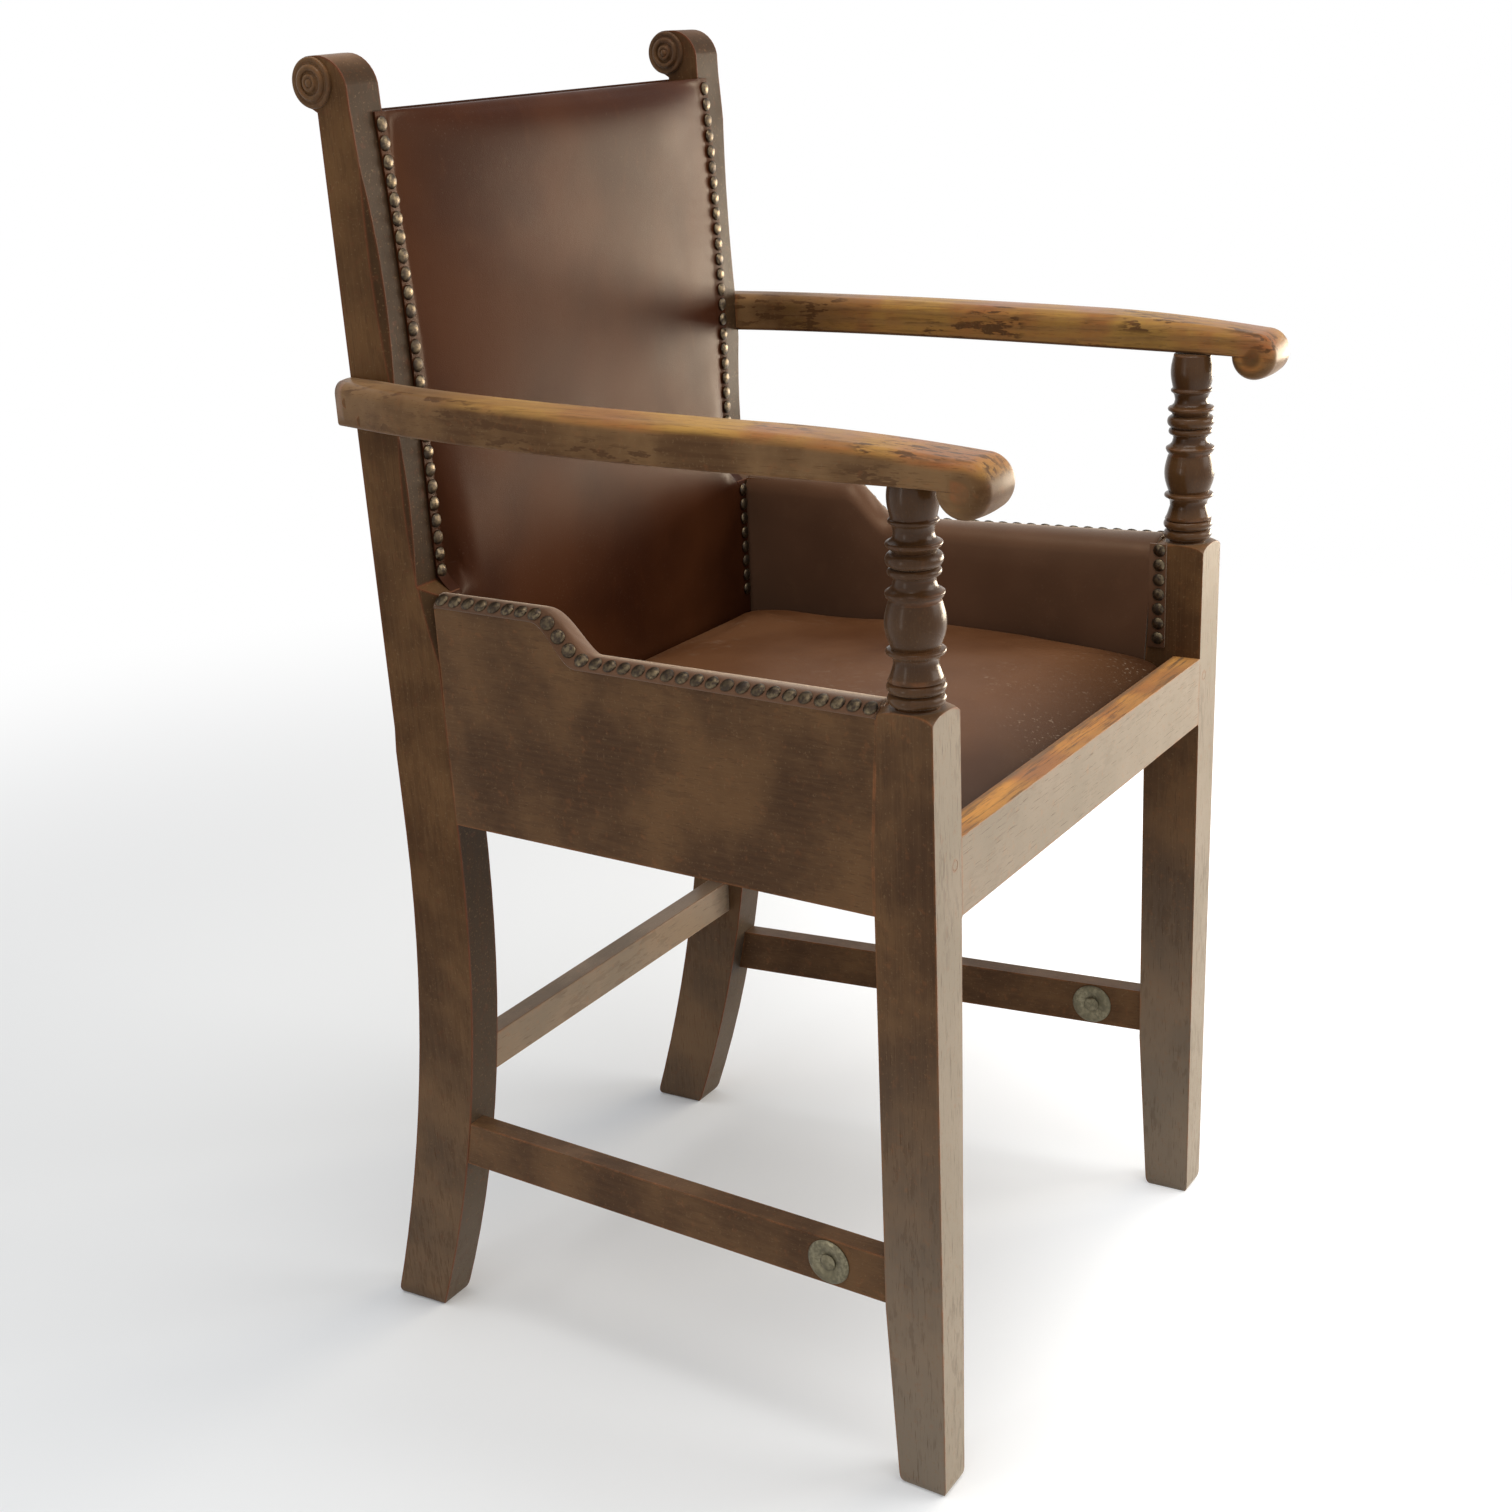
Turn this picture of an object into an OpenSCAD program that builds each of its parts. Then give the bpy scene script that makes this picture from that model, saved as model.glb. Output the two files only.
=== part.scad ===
// Open-arm chair: oak frame, nailed leather back and sides, lift-out seat.
// Sitter's right is -X, the front is -Y, the floor is z = 0.

/* [Frame] */
// outer width across the front legs
front_w = 504; // [480:1:530]
// outer width across the back posts at seat height
rear_w = 442; // [425:1:460]
// depth from the legs' front face to the posts' back face at seat height
body_d = 453; // [430:1:490]
// height of the front rail's top face
seat_h = 484; // [460:1:510]
// overall height
total_h = 958; // [930:1:1010]
// gap from the front rail's top to the arms' underside at the front
arm_gap = 231; // [220:1:245]
// how far the back feet kick out behind the posts
foot_kick = 70; // [45:1:85]
// sideways lean of the back posts, in degrees
splay = 0.83; // [0:0.01:1.2]

/* [Timber] */
// width of the front legs
leg_w = 38; // [36:0.5:42]
// width of the back posts
post_w = 32; // [29:0.5:36]
// depth of the back posts at seat height
post_d = 50; // [46:0.5:56]
// height of the front rail
rail_h = 54; // [50:1:60]
// thickness of the front rail
rail_t = 22; // [18:0.5:26]
// height of the side panels' front part above the front rail
panel_rise = 92; // [84:1:100]
// rise of the panels' high rear part above the front part
panel_step = 29; // [18:1:34]
// thickness of the side panels
panel_t = 16; // [14:0.5:18]
// height of the side stretchers' top face
stretcher_h = 181; // [150:1:200]
// width of the arms at their wide front end
arm_w = 45; // [40:0.5:48]
// how far the arms bow out
arm_bow = 15.5; // [8:0.5:18]

/* [Leather and brass] */
// thickness of the leather
leather = 1.8; // [1.2:0.1:2.4]
// bulge of the side pads
pad_crown = 3; // [1:0.5:4]
// bulge of the back pad
back_crown = 10; // [7:0.5:12]
// rise of the seat cushion's crown above the front rail
seat_crown = 22; // [14:1:28]
// head diameter of the brass nails
nail_d = 9.2; // [8:0.1:10]
// spacing of the brass nails
nail_pitch = 12; // [11:0.1:15]
// diameter of the dished brass washers
washer_d = 34; // [28:0.5:35]

/* [Hidden] */
$fn = 48;
e = 0.01;
gap = 0.3;                                       // clearance of soft pieces
snug = 0.1;                                      // clearance of faces that rest on each other

// sides and front legs
leg_d = leg_w + 7.5;                             // depth of the legs below the seat
block_d = leg_w + 2;                             // depth at the top of the square block
leg_in = front_w / 2 - leg_w;                    // inner face of the front legs
axis_x = front_w / 2 - leg_w / 2;                // turned supports
axis_y = block_d / 2;
panel_bot = seat_h - rail_h + 4.5;
panel_front = seat_h + panel_rise;
panel_rear = panel_front + panel_step;
block_z = panel_front - 3;

// back posts
post_y = body_d - post_d;                        // front face up to the ledge
ledge_z = panel_rear - 3;
up_y = post_y + 12.5;                            // front face above the ledge
up_back = body_d - 1.5;                          // back face above the seat
back_ease = 18;                                  // height over which it steps in
plan_k = (front_w - rear_w) / 2 / post_y;        // how fast the sides draw in
foot_x = rear_w / 2 - tan(splay) * (seat_h + 30);
roll_r = 16.4;                                   // scroll at the posts' tops
roll_z = total_h - roll_r;
roll_y = body_d - 0.5;
foot_y = body_d + foot_kick;

// arms
arm_z = seat_h + arm_gap;
nose_r = 17.3;                                   // drop scroll at the arms' ends
nose_y = -28;
arm_x0 = foot_x + tan(splay) * (arm_z + 20);     // posts' outer face at the arms
mid_y = (foot_y + nose_y - nose_r) / 2;

// stretchers
side_z0 = stretcher_h - 36.5;
side_t = 16.5;
bar_z = stretcher_h + 41;                        // middle of the rear stretcher
washer_y = 93;
washer_z = side_z0 + 18.3;
bolt_d = 8;

// loose seat and what it rests on
bearer_z = seat_h - 30;
bearer_h = bearer_z - panel_bot - 2;
bar_t = 20;                                      // thickness of the seat's frame bars
web_t = 2.5;
seat_y0 = rail_t + 1.2;
nail_h = 1.9;
nail_lift = 0.4;                                 // keeps the nails' rims out of curved leather
seat_y1 = post_y - leather - nail_h - 0.7;

// upholstery
back_top = total_h - 36;
back_low = seat_h + 3;
lap_x = nail_d + 0.8;                            // leather lap on the posts
rail_y = up_y + 10.5;                            // front face of the back's rails
edge_drop = 8.5;                                 // leather turned over the panels' outer edge

wood = "#4a3323";
hide = "#5a3324";
metal = "#8a7445";

function mix(a, b, t) = a + (b - a) * t;
function clip(t) = min(1, max(0, t));
function ease(t) = let (u = clip(t)) u * u * (3 - 2 * u);
function arc(cx, cy, r, a0, a1, n) =
    [for (i = [0:n]) let (a = mix(a0, a1, i / n)) [cx + r * cos(a), cy + r * sin(a)]];

// the chair stands with its outline centred on the origin; the left side is drawn,
// and the right side is its mirror image
module placed() translate([0, -mid_y, 0]) children();
module left() placed() children();
module right() placed() mirror([1, 0, 0]) children();

// pushes a drawing in (y, z) along +X
module across(t) rotate([90, 0, 90]) linear_extrude(t) children();

// pushes a drawing in (x, z) along +Y
module along(t) translate([0, t, 0]) rotate([90, 0, 0]) linear_extrude(t) children();

// closed solid through rings of equal length, each made of a path and its way back;
// rings turn anticlockwise as seen from where the row of them leads; the faces of both
// halves are split alike, so one loft can lie on another
module loft(rings) {
    n = len(rings[0]);
    m = len(rings) - 1;
    polyhedron([for (r = rings) each r], [
        for (k = [0:n / 2 - 2]) each [[k, k + 1, n - 1 - k], [k + 1, n - 2 - k, n - 1 - k]],
        for (j = [0:m - 1], i = [0:n - 1]) let (a = j * n, b = a + n, q = (i + 1) % n)
            each i < n / 2 ? [[a + i, b + i, b + q], [a + i, b + q, a + q]]
                : [[a + i, b + i, a + q], [b + i, b + q, a + q]],
        for (k = [0:n / 2 - 2]) let (a = m * n)
            each [[a + k, a + n - 1 - k, a + k + 1], [a + k + 1, a + n - 1 - k, a + n - 2 - k]]]);
}
function back_again(path) = [for (i = [len(path) - 1:-1:0]) path[i]];

// faces of the frame as functions of depth or height
function side_x(y) = front_w / 2 - plan_k * y;
function leg_back(z) = mix(leg_d, block_d, clip((z - seat_h + 6) / panel_rise));
function post_in(z) = foot_x + tan(splay) * z - post_w;
function post_front(z) =
    z < ledge_z ? post_y + (foot_kick + 2.5) * pow(max(0, 1 - z / panel_bot), 2.2)
    : z < ledge_z + 8 ? mix(post_y, up_y, (z - ledge_z) / 8)
    : up_y + 9 * pow(max(0, (z - arm_z + 15) / (roll_z - arm_z)), 2.2);
function post_back(z) = mix(body_d, up_back, clip((z - seat_h) / back_ease))
    + foot_kick * pow(max(0, 1 - z / (panel_bot - 14)), 1.9);

// Back posts

module post_profile() {
    top_y = roll_y - 5;
    top_r = top_y - post_front(roll_z - 16);
    polygon(concat(
        [for (i = [0:14]) let (z = panel_bot * i / 14) [post_front(z), z]],
        [[post_y, ledge_z], [up_y, ledge_z + 8]],
        [for (i = [0:8]) let (z = mix(arm_z - 15, roll_z - 16, i / 8)) [post_front(z), z]],
        arc(top_y, total_h - top_r, top_r, 170, 90, 8),
        arc(roll_y, roll_z, roll_r, 90, -80, 15),
        [[up_back, roll_z - roll_r - 2], [up_back, seat_h + back_ease], [body_d, seat_h]],
        [for (i = [14:-1:0]) let (z = (panel_bot - 14) * i / 14) [post_back(z), z]]));
}

// a long shallow scoop out of the outer front corner, from z0 to z1
module scoop(z0, z1, depth) {
    h = (z1 - z0) / 2;
    r = (h * h + depth * depth) / 2 / depth;
    translate([0, post_front((z0 + z1) / 2), (z0 + z1) / 2]) rotate([0, 0, 45])
        translate([0, depth - r, 0]) rotate([0, 90, 0])
            cylinder(h = 40, r = r, center = true, $fn = 96);
}

lean_up = post_w * sin(splay);                   // rise of a leaning post's inner face over its outer one
module post_place() translate([foot_x, 0, 0]) rotate([0, splay, 0]) children();

module post_blank() intersection() {
    post_place() translate([-post_w, 0, 0]) {
        across(post_w) post_profile();
        translate([0, post_front(0), -2]) cube([post_w, foot_y - post_front(0), 2 + e]);
    }
    cube([front_w, 2 * body_d, 2 * total_h]);
}

module post() color(wood) difference() {
    post_blank();
    post_place() {
        scoop(arm_z + 42, roll_z - 18, 3.3);
        scoop(ledge_z + 14, arm_z + 2, 2.2);
    }
    stretcher_tenon();
    bar_tenons();
    arm_screw_holes();
}
module rear_post_right() right() post();
module rear_post_left() left() post();

// turned roundel on a short collar, standing 5.6 proud
module roundel() color(wood) rotate_extrude() polygon([[0, 0], [15.9, 0], [15.9, 1.6], [15, 2.4],
    [13.2, 2.5], [12.7, 1.9], [11.6, 1.9], [11, 3.3], [9.6, 4.1], [8, 3.9], [7.2, 2.7], [6, 2.7],
    [5.2, 4], [3.4, 4.7], [2.2, 4.9], [1.6, 5.5], [0, 5.6]]);
module roundel_outer() post_place() translate([0, roll_y, roll_z]) rotate([0, 90, 0]) roundel();
module roundel_inner() post_place() translate([-post_w, roll_y, roll_z]) rotate([0, -90, 0]) roundel();
module roundel_right_outer() right() roundel_outer();
module roundel_right_inner() right() roundel_inner();
module roundel_left_outer() left() roundel_outer();
module roundel_left_inner() left() roundel_inner();

// Front legs with their turned supports

function bead(z0, z1, r, n = 4) = let (h = (z1 - z0) / 2)
    [for (i = [0:n]) let (a = mix(-90, 90, i / n)) [r - h + h * cos(a), (z0 + z1) / 2 + h * sin(a)]];
function swell(z0, z1, r0, r, r1, n) =
    [for (i = [0:n]) let (t = i / n) [mix(r0, r1, t) + (r - (r0 + r1) / 2) * sin(180 * t), mix(z0, z1, t)]];

// radius over height of the turning, for a gap of 142
turned_h = 142;
turning = concat([[0, -8], [13.7, -8], [13.7, 1]], bead(1.8, 9.6, 18.4), bead(10, 17, 18.7),
    [[17.8, 17.4], [15, 24.5], [14.1, 27.6], [14.8, 32]], bead(34, 37.4, 18.7, 3),
    swell(38, 66, 15.3, 19, 16.6, 9), [[15.8, 67.4], [18.4, 71.2], [18.2, 72.4]],
    [[13.8, 76], [12.9, 79.6], [13.6, 81.6]], bead(82, 87, 16.6), bead(87.4, 96.6, 17.8),
    bead(99.6, 103, 17.5, 3), [[12.9, 105.5], [12.3, 108.4], [13, 111.5]], bead(113.6, 116.6, 15.6, 3),
    swell(117.2, turned_h, 14.1, 16, 13.8, 8), [[0, turned_h]]);

module leg_plan() polygon([[side_x(0), 0], [side_x(leg_d), leg_d], [leg_in, leg_d], [leg_in, 0]]);

// the leg narrows behind and inside towards the foot
module leg_blank() intersection() {
    linear_extrude(block_z) leg_plan();
    translate([leg_in - 5, 0, 0]) across(leg_w + 10) polygon([[0, 0], [leg_d - 8, 0], [leg_d, side_z0 - 2],
        [leg_d, seat_h - 6], [block_d, panel_front - 6], [block_d, block_z], [0, block_z]]);
    along(leg_d) polygon([[front_w / 2, 0], [front_w / 2, block_z], [leg_in, block_z],
        [leg_in, seat_h - rail_h], [leg_in + 1.2, seat_h - rail_h - 2], [leg_in + 8, 0]]);
    translate([axis_x, axis_y, 0]) rotate_extrude($fn = 72) polygon(concat([[0, 0], [leg_w, 0],
        [leg_w, block_z - 14], [29, block_z - 9.5]],
        [for (a = [0:15:90]) [15 + 14 * cos(a), block_z - 9.5 + 9.5 * sin(a)]], [[0, block_z]]));
}

module leg() color(wood) difference() {
    union() {
        leg_blank();
        translate([axis_x, axis_y, block_z]) scale((arm_z + 0.6 - block_z) / turned_h)
            rotate_extrude($fn = 56) polygon(turning);
    }
    rail_tenon();
    stretcher_tenon();
    peg();
}
module front_leg_right() right() leg();
module front_leg_left() left() leg();

// Arms

// t runs from the posts' front face (0) to the centre of the drop scroll (1)
function arm_y(t) = mix(up_y, nose_y, t);
function arm_t(y) = (up_y - y) / (up_y - nose_y);
function arm_out(t) = t < 0 ? arm_x0 + 27.5 + 110 * t
    : mix(arm_x0 + 27.5, front_w / 2 + 18, t) + arm_bow * sin(180 * pow(t, 0.8));
function arm_in(t) = arm_out(t) - mix(31, arm_w, pow(sin(90 * clip(t)), 1.35));
function arm_low(t) = arm_z + 8 * (1 - t);
function arm_thick(t) = mix(29, 23.8, t) - 6.5 * pow(clip((t - 0.7) / 0.3), 1.8);
arm_end = arm_t(up_back - 0.4);
arm_steps = concat([0.998], [for (i = [17:-1:0]) i / 18], [-0.03, arm_end + 0.025, arm_end]);

function arm_ring(t) = let (x1 = arm_out(t), x0 = arm_in(t), z0 = arm_low(t), z1 = z0 + arm_thick(t),
    r = t < arm_end + 0.01 ? 6.5 : 8.5, q = 2.6,
    up = concat(arc(x0 + q, z0 + q, q, 270, 180, 2), arc(x0 + r, z1 - r, r, 180, 90, 5)),
    down = concat(arc(x1 - q, z0 + q, q, 270, 360, 2), arc(x1 - r, z1 - r, r, 0, 90, 5)))
    [for (p = concat(up, back_again(down))) [p[0], arm_y(t), p[1]]];

module arm() color(wood) difference() {
    union() {
        loft([for (t = arm_steps) arm_ring(t)]);
        translate([arm_in(1) - 0.4, nose_y, arm_z]) rotate([0, 90, 0]) rotate_extrude($fn = 60)
            polygon(concat([[0, 0]], arc(nose_r - 8, 8, 8, -90, 0, 5),
                arc(nose_r - 8, arm_w - 7.2, 8, 0, 90, 5), [[0, arm_w + 0.8]]));
    }
    post_blank();
    // level bed on the turned support
    translate([axis_x, axis_y, arm_z - 19.4]) cylinder(h = 20, r = 15);
    arm_screw_holes();
    plugs();
}
module arm_right() right() arm();
module arm_left() left() arm();

// two plugged screws through each arm's rear lap into the post
screw_places = [[24, 25], [10, 14]];
module screws(d, x0, x1) for (p = screw_places)
    translate([x0, up_y + p[0], arm_z + p[1]]) rotate([0, 90, 0]) cylinder(h = x1 - x0, d = d, $fn = 24);
module arm_screw_holes() screws(4, arm_x0 - 18, arm_x0 + 12 + e);
module plugs() screws(8, arm_x0 + 12, arm_x0 + 60);
module arm_screws() color(wood) {
    screws(4, arm_x0 - 18, arm_x0 + 12);
    for (p = screw_places) translate([arm_x0 + 12, up_y + p[0], arm_z + p[1]]) rotate([0, 90, 0])
        cylinder(h = arm_out(arm_t(up_y + p[0])) - arm_x0 - 12.2, d = 8, $fn = 24);
}
module arm_screws_right() right() arm_screws();
module arm_screws_left() left() arm_screws();

// Side panels and their leather

swoop_y = post_y - 115;                          // middle of the S-curve on the panels' top
function panel_top(y) = mix(panel_front, panel_rear, ease((y - swoop_y + 20) / 40));
function edge_z(y) = mix(panel_front, panel_rear, ease((y - swoop_y + 8) / 34)) - edge_drop;
side_steps = concat([1], [for (i = [11:-1:0]) (swoop_y - 22 + 48 * i / 11 - block_d) / (post_y - block_d)],
    [0.5, 0.33, 0.16, 0]);
function step_y(s) = mix(block_d, post_y, s);

// top of the panel under the leather, from the outer face inwards
function bed(y) = let (x = side_x(y), z = panel_top(y) - leather, z0 = edge_z(y))
    [[x, z0], [x - 0.8, z0 + 1.8], [x - 7, z - 0.8], [x - panel_t, z]];

// s = 0 follows the leg's slanted back face, s = 1 the post's front face
function side_y(s, z) = s == 0 ? leg_back(z) : step_y(s);
// keeps the slanted end of a ring in the planes of its faces
function end_x(s, y) = side_x(y) - side_x(step_y(s));

function panel_ring(s) = let (y = step_y(s), b = bed(y), x = side_x(y), top = b[3][1],
    outer = [[x, panel_bot], [x, seat_h - 6], b[0], b[1], b[2]],
    inner = [for (z = [panel_bot, seat_h - 6, b[0][1] - 2, top - 3, top]) [x - panel_t, z]])
    [for (p = concat(outer, back_again(inner))) let (z = min(p[1], top) - (p[1] > seat_h ? gap : 0),
        y = side_y(s, z) + (s == 0 ? snug : 0)) [p[0] + end_x(s, y), y, z]];
module panel() color(wood) loft([for (s = side_steps) panel_ring(s)]);
module side_panel_right() right() panel();
module side_panel_left() left() panel();

// inner face of the side pads in plan, and how they fill out
pad_rear = post_in(panel_front) + lap_x + 1;
function pad_in(y) = let (t = clip((y - leg_d) / (post_y - leg_d)))
    mix(leg_in - leather, pad_rear, t) - pad_crown * sin(180 * t);

function pad_ring(s) = let (y = step_y(s), x = side_x(y), zt = panel_top(y), zb = bearer_z + gap,
    b = bed(y), xi = pad_in(y), xr = x - 10,
    over = concat([[x + 0.9, b[0][1]], [x + 0.5, b[0][1] + 2.4], [x - 6.4, zt - 0.9], [xr, zt]],
        [for (a = [18:18:90]) [mix(xr, xi, sin(a)), zt - 15 * (1 - cos(a))]],
        [[xi - 0.2, seat_h + 10], [xi, zb]]),
    inner_z = [zt - 6, zt - 9, zt - 12, zt - 16, seat_h + 10, seat_h - 6, zb],
    under = concat(b, [for (z = inner_z) [x - panel_t - snug, z]]),
    clear = s == 0 ? gap : s == 1 ? -gap : 0)
    [for (p = concat(over, back_again(under))) let (y = side_y(s, p[1]) + clear)
        [p[0] + end_x(s, y), y, p[1]]];

module side_pad() color(hide) {
    loft([for (s = side_steps) pad_ring(s)]);
    // lap on the leg's inner face, under the nails
    translate([leg_in - leather, block_d - nail_d - 1, seat_h + 6])
        cube([leather, nail_d + 4, panel_front - seat_h - 9]);
}
module side_pad_right() right() side_pad();
module side_pad_left() left() side_pad();

// Rails and stretchers

tenon_t = 8;
tenon_long = 20;
shoulder = 6;                                    // of the tenons, above and below

module front_rail() placed() color(wood) {
    translate([-leg_in, 0, seat_h - rail_h]) cube([2 * leg_in, rail_t, rail_h]);
    for (m = [0, 1]) mirror([m, 0, 0]) difference() {
        rail_tenon();
        peg();
    }
}
module rail_tenon() translate([leg_in - e, (rail_t - tenon_t) / 2, seat_h - rail_h + shoulder])
    cube([tenon_long + 4, tenon_t, rail_h - 2 * shoulder]);

peg_d = 7;
peg_long = 20;
peg_in = 10;                                     // from the leg's inner face
peg_down = 16;                                   // below the rail's top
module peg_place() translate([leg_in + peg_in, 0, seat_h - peg_down]) rotate([-90, 0, 0]) children();
module peg() peg_place() translate([0, 0, -e]) cylinder(h = peg_long, d = peg_d, $fn = 24);
module peg_piece() color(wood) peg_place() cylinder(h = peg_long - e, d = peg_d, $fn = 24);
module peg_right() right() peg_piece();
module peg_left() left() peg_piece();

// rail between the posts' leaning faces, with tenons into both posts
module post_rail(y, t, z0, z1) {
    translate([0, y, 0]) along(t)
        polygon([[-post_in(z0), z0], [post_in(z0), z0], [post_in(z1), z1], [-post_in(z1), z1]]);
    for (m = [0, 1]) mirror([m, 0, 0]) bar_tenon(y, t, z0, z1);
}
module bar_tenon(y, t, z0, z1) translate([post_in(z0) - 1, y + (t - tenon_t) / 2, z0 + shoulder])
    cube([tenon_long + 1, tenon_t, z1 - z0 - 2 * shoulder]);
seat_rail = [post_y + 3, 24, seat_h - rail_h, seat_h];
lower_rail = [rail_y, 24, seat_h + 28, seat_h + 68];
top_rail = [rail_y, 22, back_top - 52, back_top - 3];
low_bar = [foot_y - 92, 18.5, bar_z - 14.5, bar_z + 14.5];
module bar_tenons() for (r = [seat_rail, lower_rail, top_rail, low_bar]) bar_tenon(r[0], r[1], r[2], r[3]);
module rail_at(r) placed() color(wood) post_rail(r[0], r[1], r[2], r[3]);
module rear_seat_rail() rail_at(seat_rail);
module back_lower_rail() rail_at(lower_rail);
module back_top_rail() rail_at(top_rail);
module rear_stretcher() rail_at(low_bar);

// side stretchers run from the legs' back face to the posts' front face
str_x0 = side_x(leg_d) - 2.7;
str_x1 = foot_x + tan(splay) * washer_z - 2.4;
str_y1 = post_front(side_z0) + 20;
function str_x(y) = mix(str_x0, str_x1, (y - leg_d) / (str_y1 - leg_d));
module stretcher_plan(y0, y1, in0, in1) polygon([[str_x(y0) - in0, y0], [str_x(y1) - in0, y1],
    [str_x(y1) - in1, y1], [str_x(y0) - in1, y0]]);
str_ends = [[leg_d - tenon_long - 2, leg_d + 1], [post_front(stretcher_h) - 8, str_y1]];
module stretcher_tenon() translate([0, 0, side_z0 + shoulder])
    linear_extrude(stretcher_h - side_z0 - 2 * shoulder)
        for (y = str_ends) stretcher_plan(y[0], y[1], 4, 4 + tenon_t);
module side_stretcher() color(wood) difference() {
    union() {
        difference() {
            translate([0, 0, side_z0]) linear_extrude(stretcher_h - side_z0)
                stretcher_plan(leg_d, str_y1, 0, side_t);
            post_blank();
        }
        stretcher_tenon();
    }
    on_stretcher(true) translate([0, 0, -2 * side_t]) cylinder(h = 3 * side_t, d = bolt_d);
}
module side_stretcher_right() right() side_stretcher();
module side_stretcher_left() left() side_stretcher();

// dished washers, bolt and nut; z = 0 lies on the stretcher's face
str_turn = atan((str_x0 - str_x1) / (str_y1 - leg_d));
str_thick = side_t * cos(str_turn);
module on_stretcher(outer) translate([str_x(washer_y), washer_y, washer_z]) rotate([0, 0, str_turn])
    translate([outer ? 0 : -str_thick, 0, 0]) rotate([0, outer ? 90 : -90, 0]) children();
washer_rim = [[0, 0.8], [1, 1.8], [4, 2.4], [7, 2.1], [10, 0.9]];   // inward from the edge, and height
washer_seat = 0.9;                               // dish floor that carries the bolt's head
hole_r = bolt_d / 2 + snug;
module washer() color(metal) rotate_extrude() polygon(concat([[hole_r, 0], [washer_d / 2, 0]],
    [for (p = washer_rim) [washer_d / 2 - p[0], p[1]]], [[hole_r, washer_seat]]));
module washer_right_outer() right() on_stretcher(true) washer();
module washer_right_inner() right() on_stretcher(false) washer();
module washer_left_outer() left() on_stretcher(true) washer();
module washer_left_inner() left() on_stretcher(false) washer();
head_r = 6.2;
head_h = 2.2;
head_z = washer_seat + snug;
bolt_end = -str_thick - head_z - head_h;
module bolt() color(metal) on_stretcher(true) rotate_extrude() polygon([
    [0, bolt_end], [bolt_d / 2, bolt_end], [bolt_d / 2, head_z], [head_r, head_z],
    [head_r - 0.2, head_z + 0.8], [4.6, head_z + 1.6], [2.4, head_z + 2.1], [0, head_z + head_h]]);
module nut() color(metal) on_stretcher(false) rotate_extrude() polygon([[hole_r, head_z],
    [head_r, head_z], [head_r - 0.2, head_z + 1.3], [5.2, head_z + head_h], [hole_r, head_z + head_h]]);
module bolt_right() right() bolt();
module bolt_left() left() bolt();
module nut_right() right() nut();
module nut_left() left() nut();

// Bearers under the loose seat

bearer_in = 16;                                  // reach of the side bearers under the seat
module bearer_front() placed() color(wood) translate([-leg_in, rail_t, bearer_z - bearer_h])
    cube([2 * leg_in, leg_d - rail_t, bearer_h]);
bearer_t = 22;
module bearer_rear() placed() color(wood)
    translate([-pad_rear + bearer_in, seat_rail[0] - bearer_t, bearer_z - bearer_h])
        cube([2 * (pad_rear - bearer_in), bearer_t, bearer_h]);
module bearer_side() color(wood) translate([0, 0, bearer_z - bearer_h]) linear_extrude(bearer_h)
    polygon([[side_x(leg_d) - panel_t, leg_d], [side_x(post_y) - panel_t, post_y],
        [pad_rear - bearer_in, post_y], [leg_in - bearer_in, leg_d]]);
module bearer_right() right() bearer_side();
module bearer_left() left() bearer_side();

// Back pad and outer cover

// the leather lies flat on the posts, swells forward between them and turns back over the top rail
back_steps = concat([back_low, mix(back_low, ledge_z, 0.25), mix(back_low, ledge_z, 0.65)],
    [for (z = [ledge_z, ledge_z + 8]) z + lean_up], [ledge_z + 40],
    [for (i = [0:5]) mix(arm_z - 15, back_top - 40, i / 5)], [for (down = [22, 10, 3, 0]) back_top - down]);
function lap_front(z) = post_front(z - lean_up) - leather;
function back_mid(z) = let (t = clip((z - back_top + 40) / 40))
    mix(up_y - back_crown, rail_y - 5, 0.35 * t * t + 0.65 * pow(t, 7));
function back_face(u, z) = mix(back_mid(z), lap_front(z), pow(abs(u), 3.2));
across_steps = [-1, -0.93, -0.82, -0.6, -0.3, 0, 0.3, 0.6, 0.82, 0.93, 1];

function back_ring(z) = let (
    xi = post_in(z) - gap, xo = post_in(z) + lap_x, yf = lap_front(z), yl = yf + leather,
    front = concat([[-xo, yf]], [for (u = across_steps) [u * xi, back_face(u, z)]], [[xo, yf]]),
    bed_x = [for (u = across_steps) if (abs(u) < 1) [u * xi, rail_y - gap]],
    rear = concat([[-xo, yl - 2 * snug], [-xi, yl - 2 * snug]], bed_x,
        [[xi, yl - 2 * snug], [xo, yl - 2 * snug]]))
    [for (p = concat(front, back_again(rear))) [p[0], p[1], z]];

module back_pad() placed() color(hide) loft([for (z = back_steps) back_ring(z)]);

cover_low = seat_h + 22;
module back_outer_cover() placed() color(hide) translate([0, up_back, 0]) along(leather)
    polygon([[-post_in(cover_low) - lap_x, cover_low], [post_in(cover_low) + lap_x, cover_low],
        [post_in(back_top) + lap_x, back_top], [-post_in(back_top) - lap_x, back_top]]);

// Nails

// a low dome; z = 0 lies on the leather
module nail() rotate_extrude($fn = 16)
    polygon([[0, 0], for (a = [0, 25, 50, 70, 90]) [nail_d / 2 * cos(a), nail_h * sin(a)]]);

// points at even spacing along a path
function walk(path, s, i = 0) = let (d = norm(path[i + 1] - path[i]))
    s <= d || i > len(path) - 3 ? mix(path[i], path[i + 1], min(1, s / d)) : walk(path, s - d, i + 1);
function path_len(path, i = 1) = i < len(path) ? norm(path[i] - path[i - 1]) + path_len(path, i + 1) : 0;
function spaced(path) = let (l = path_len(path), n = round(l / nail_pitch))
    [for (i = [0:n]) walk(path, l * i / n)];
nail_in = nail_d / 2 + 0.5;                      // from the leather's edge to the row

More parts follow.
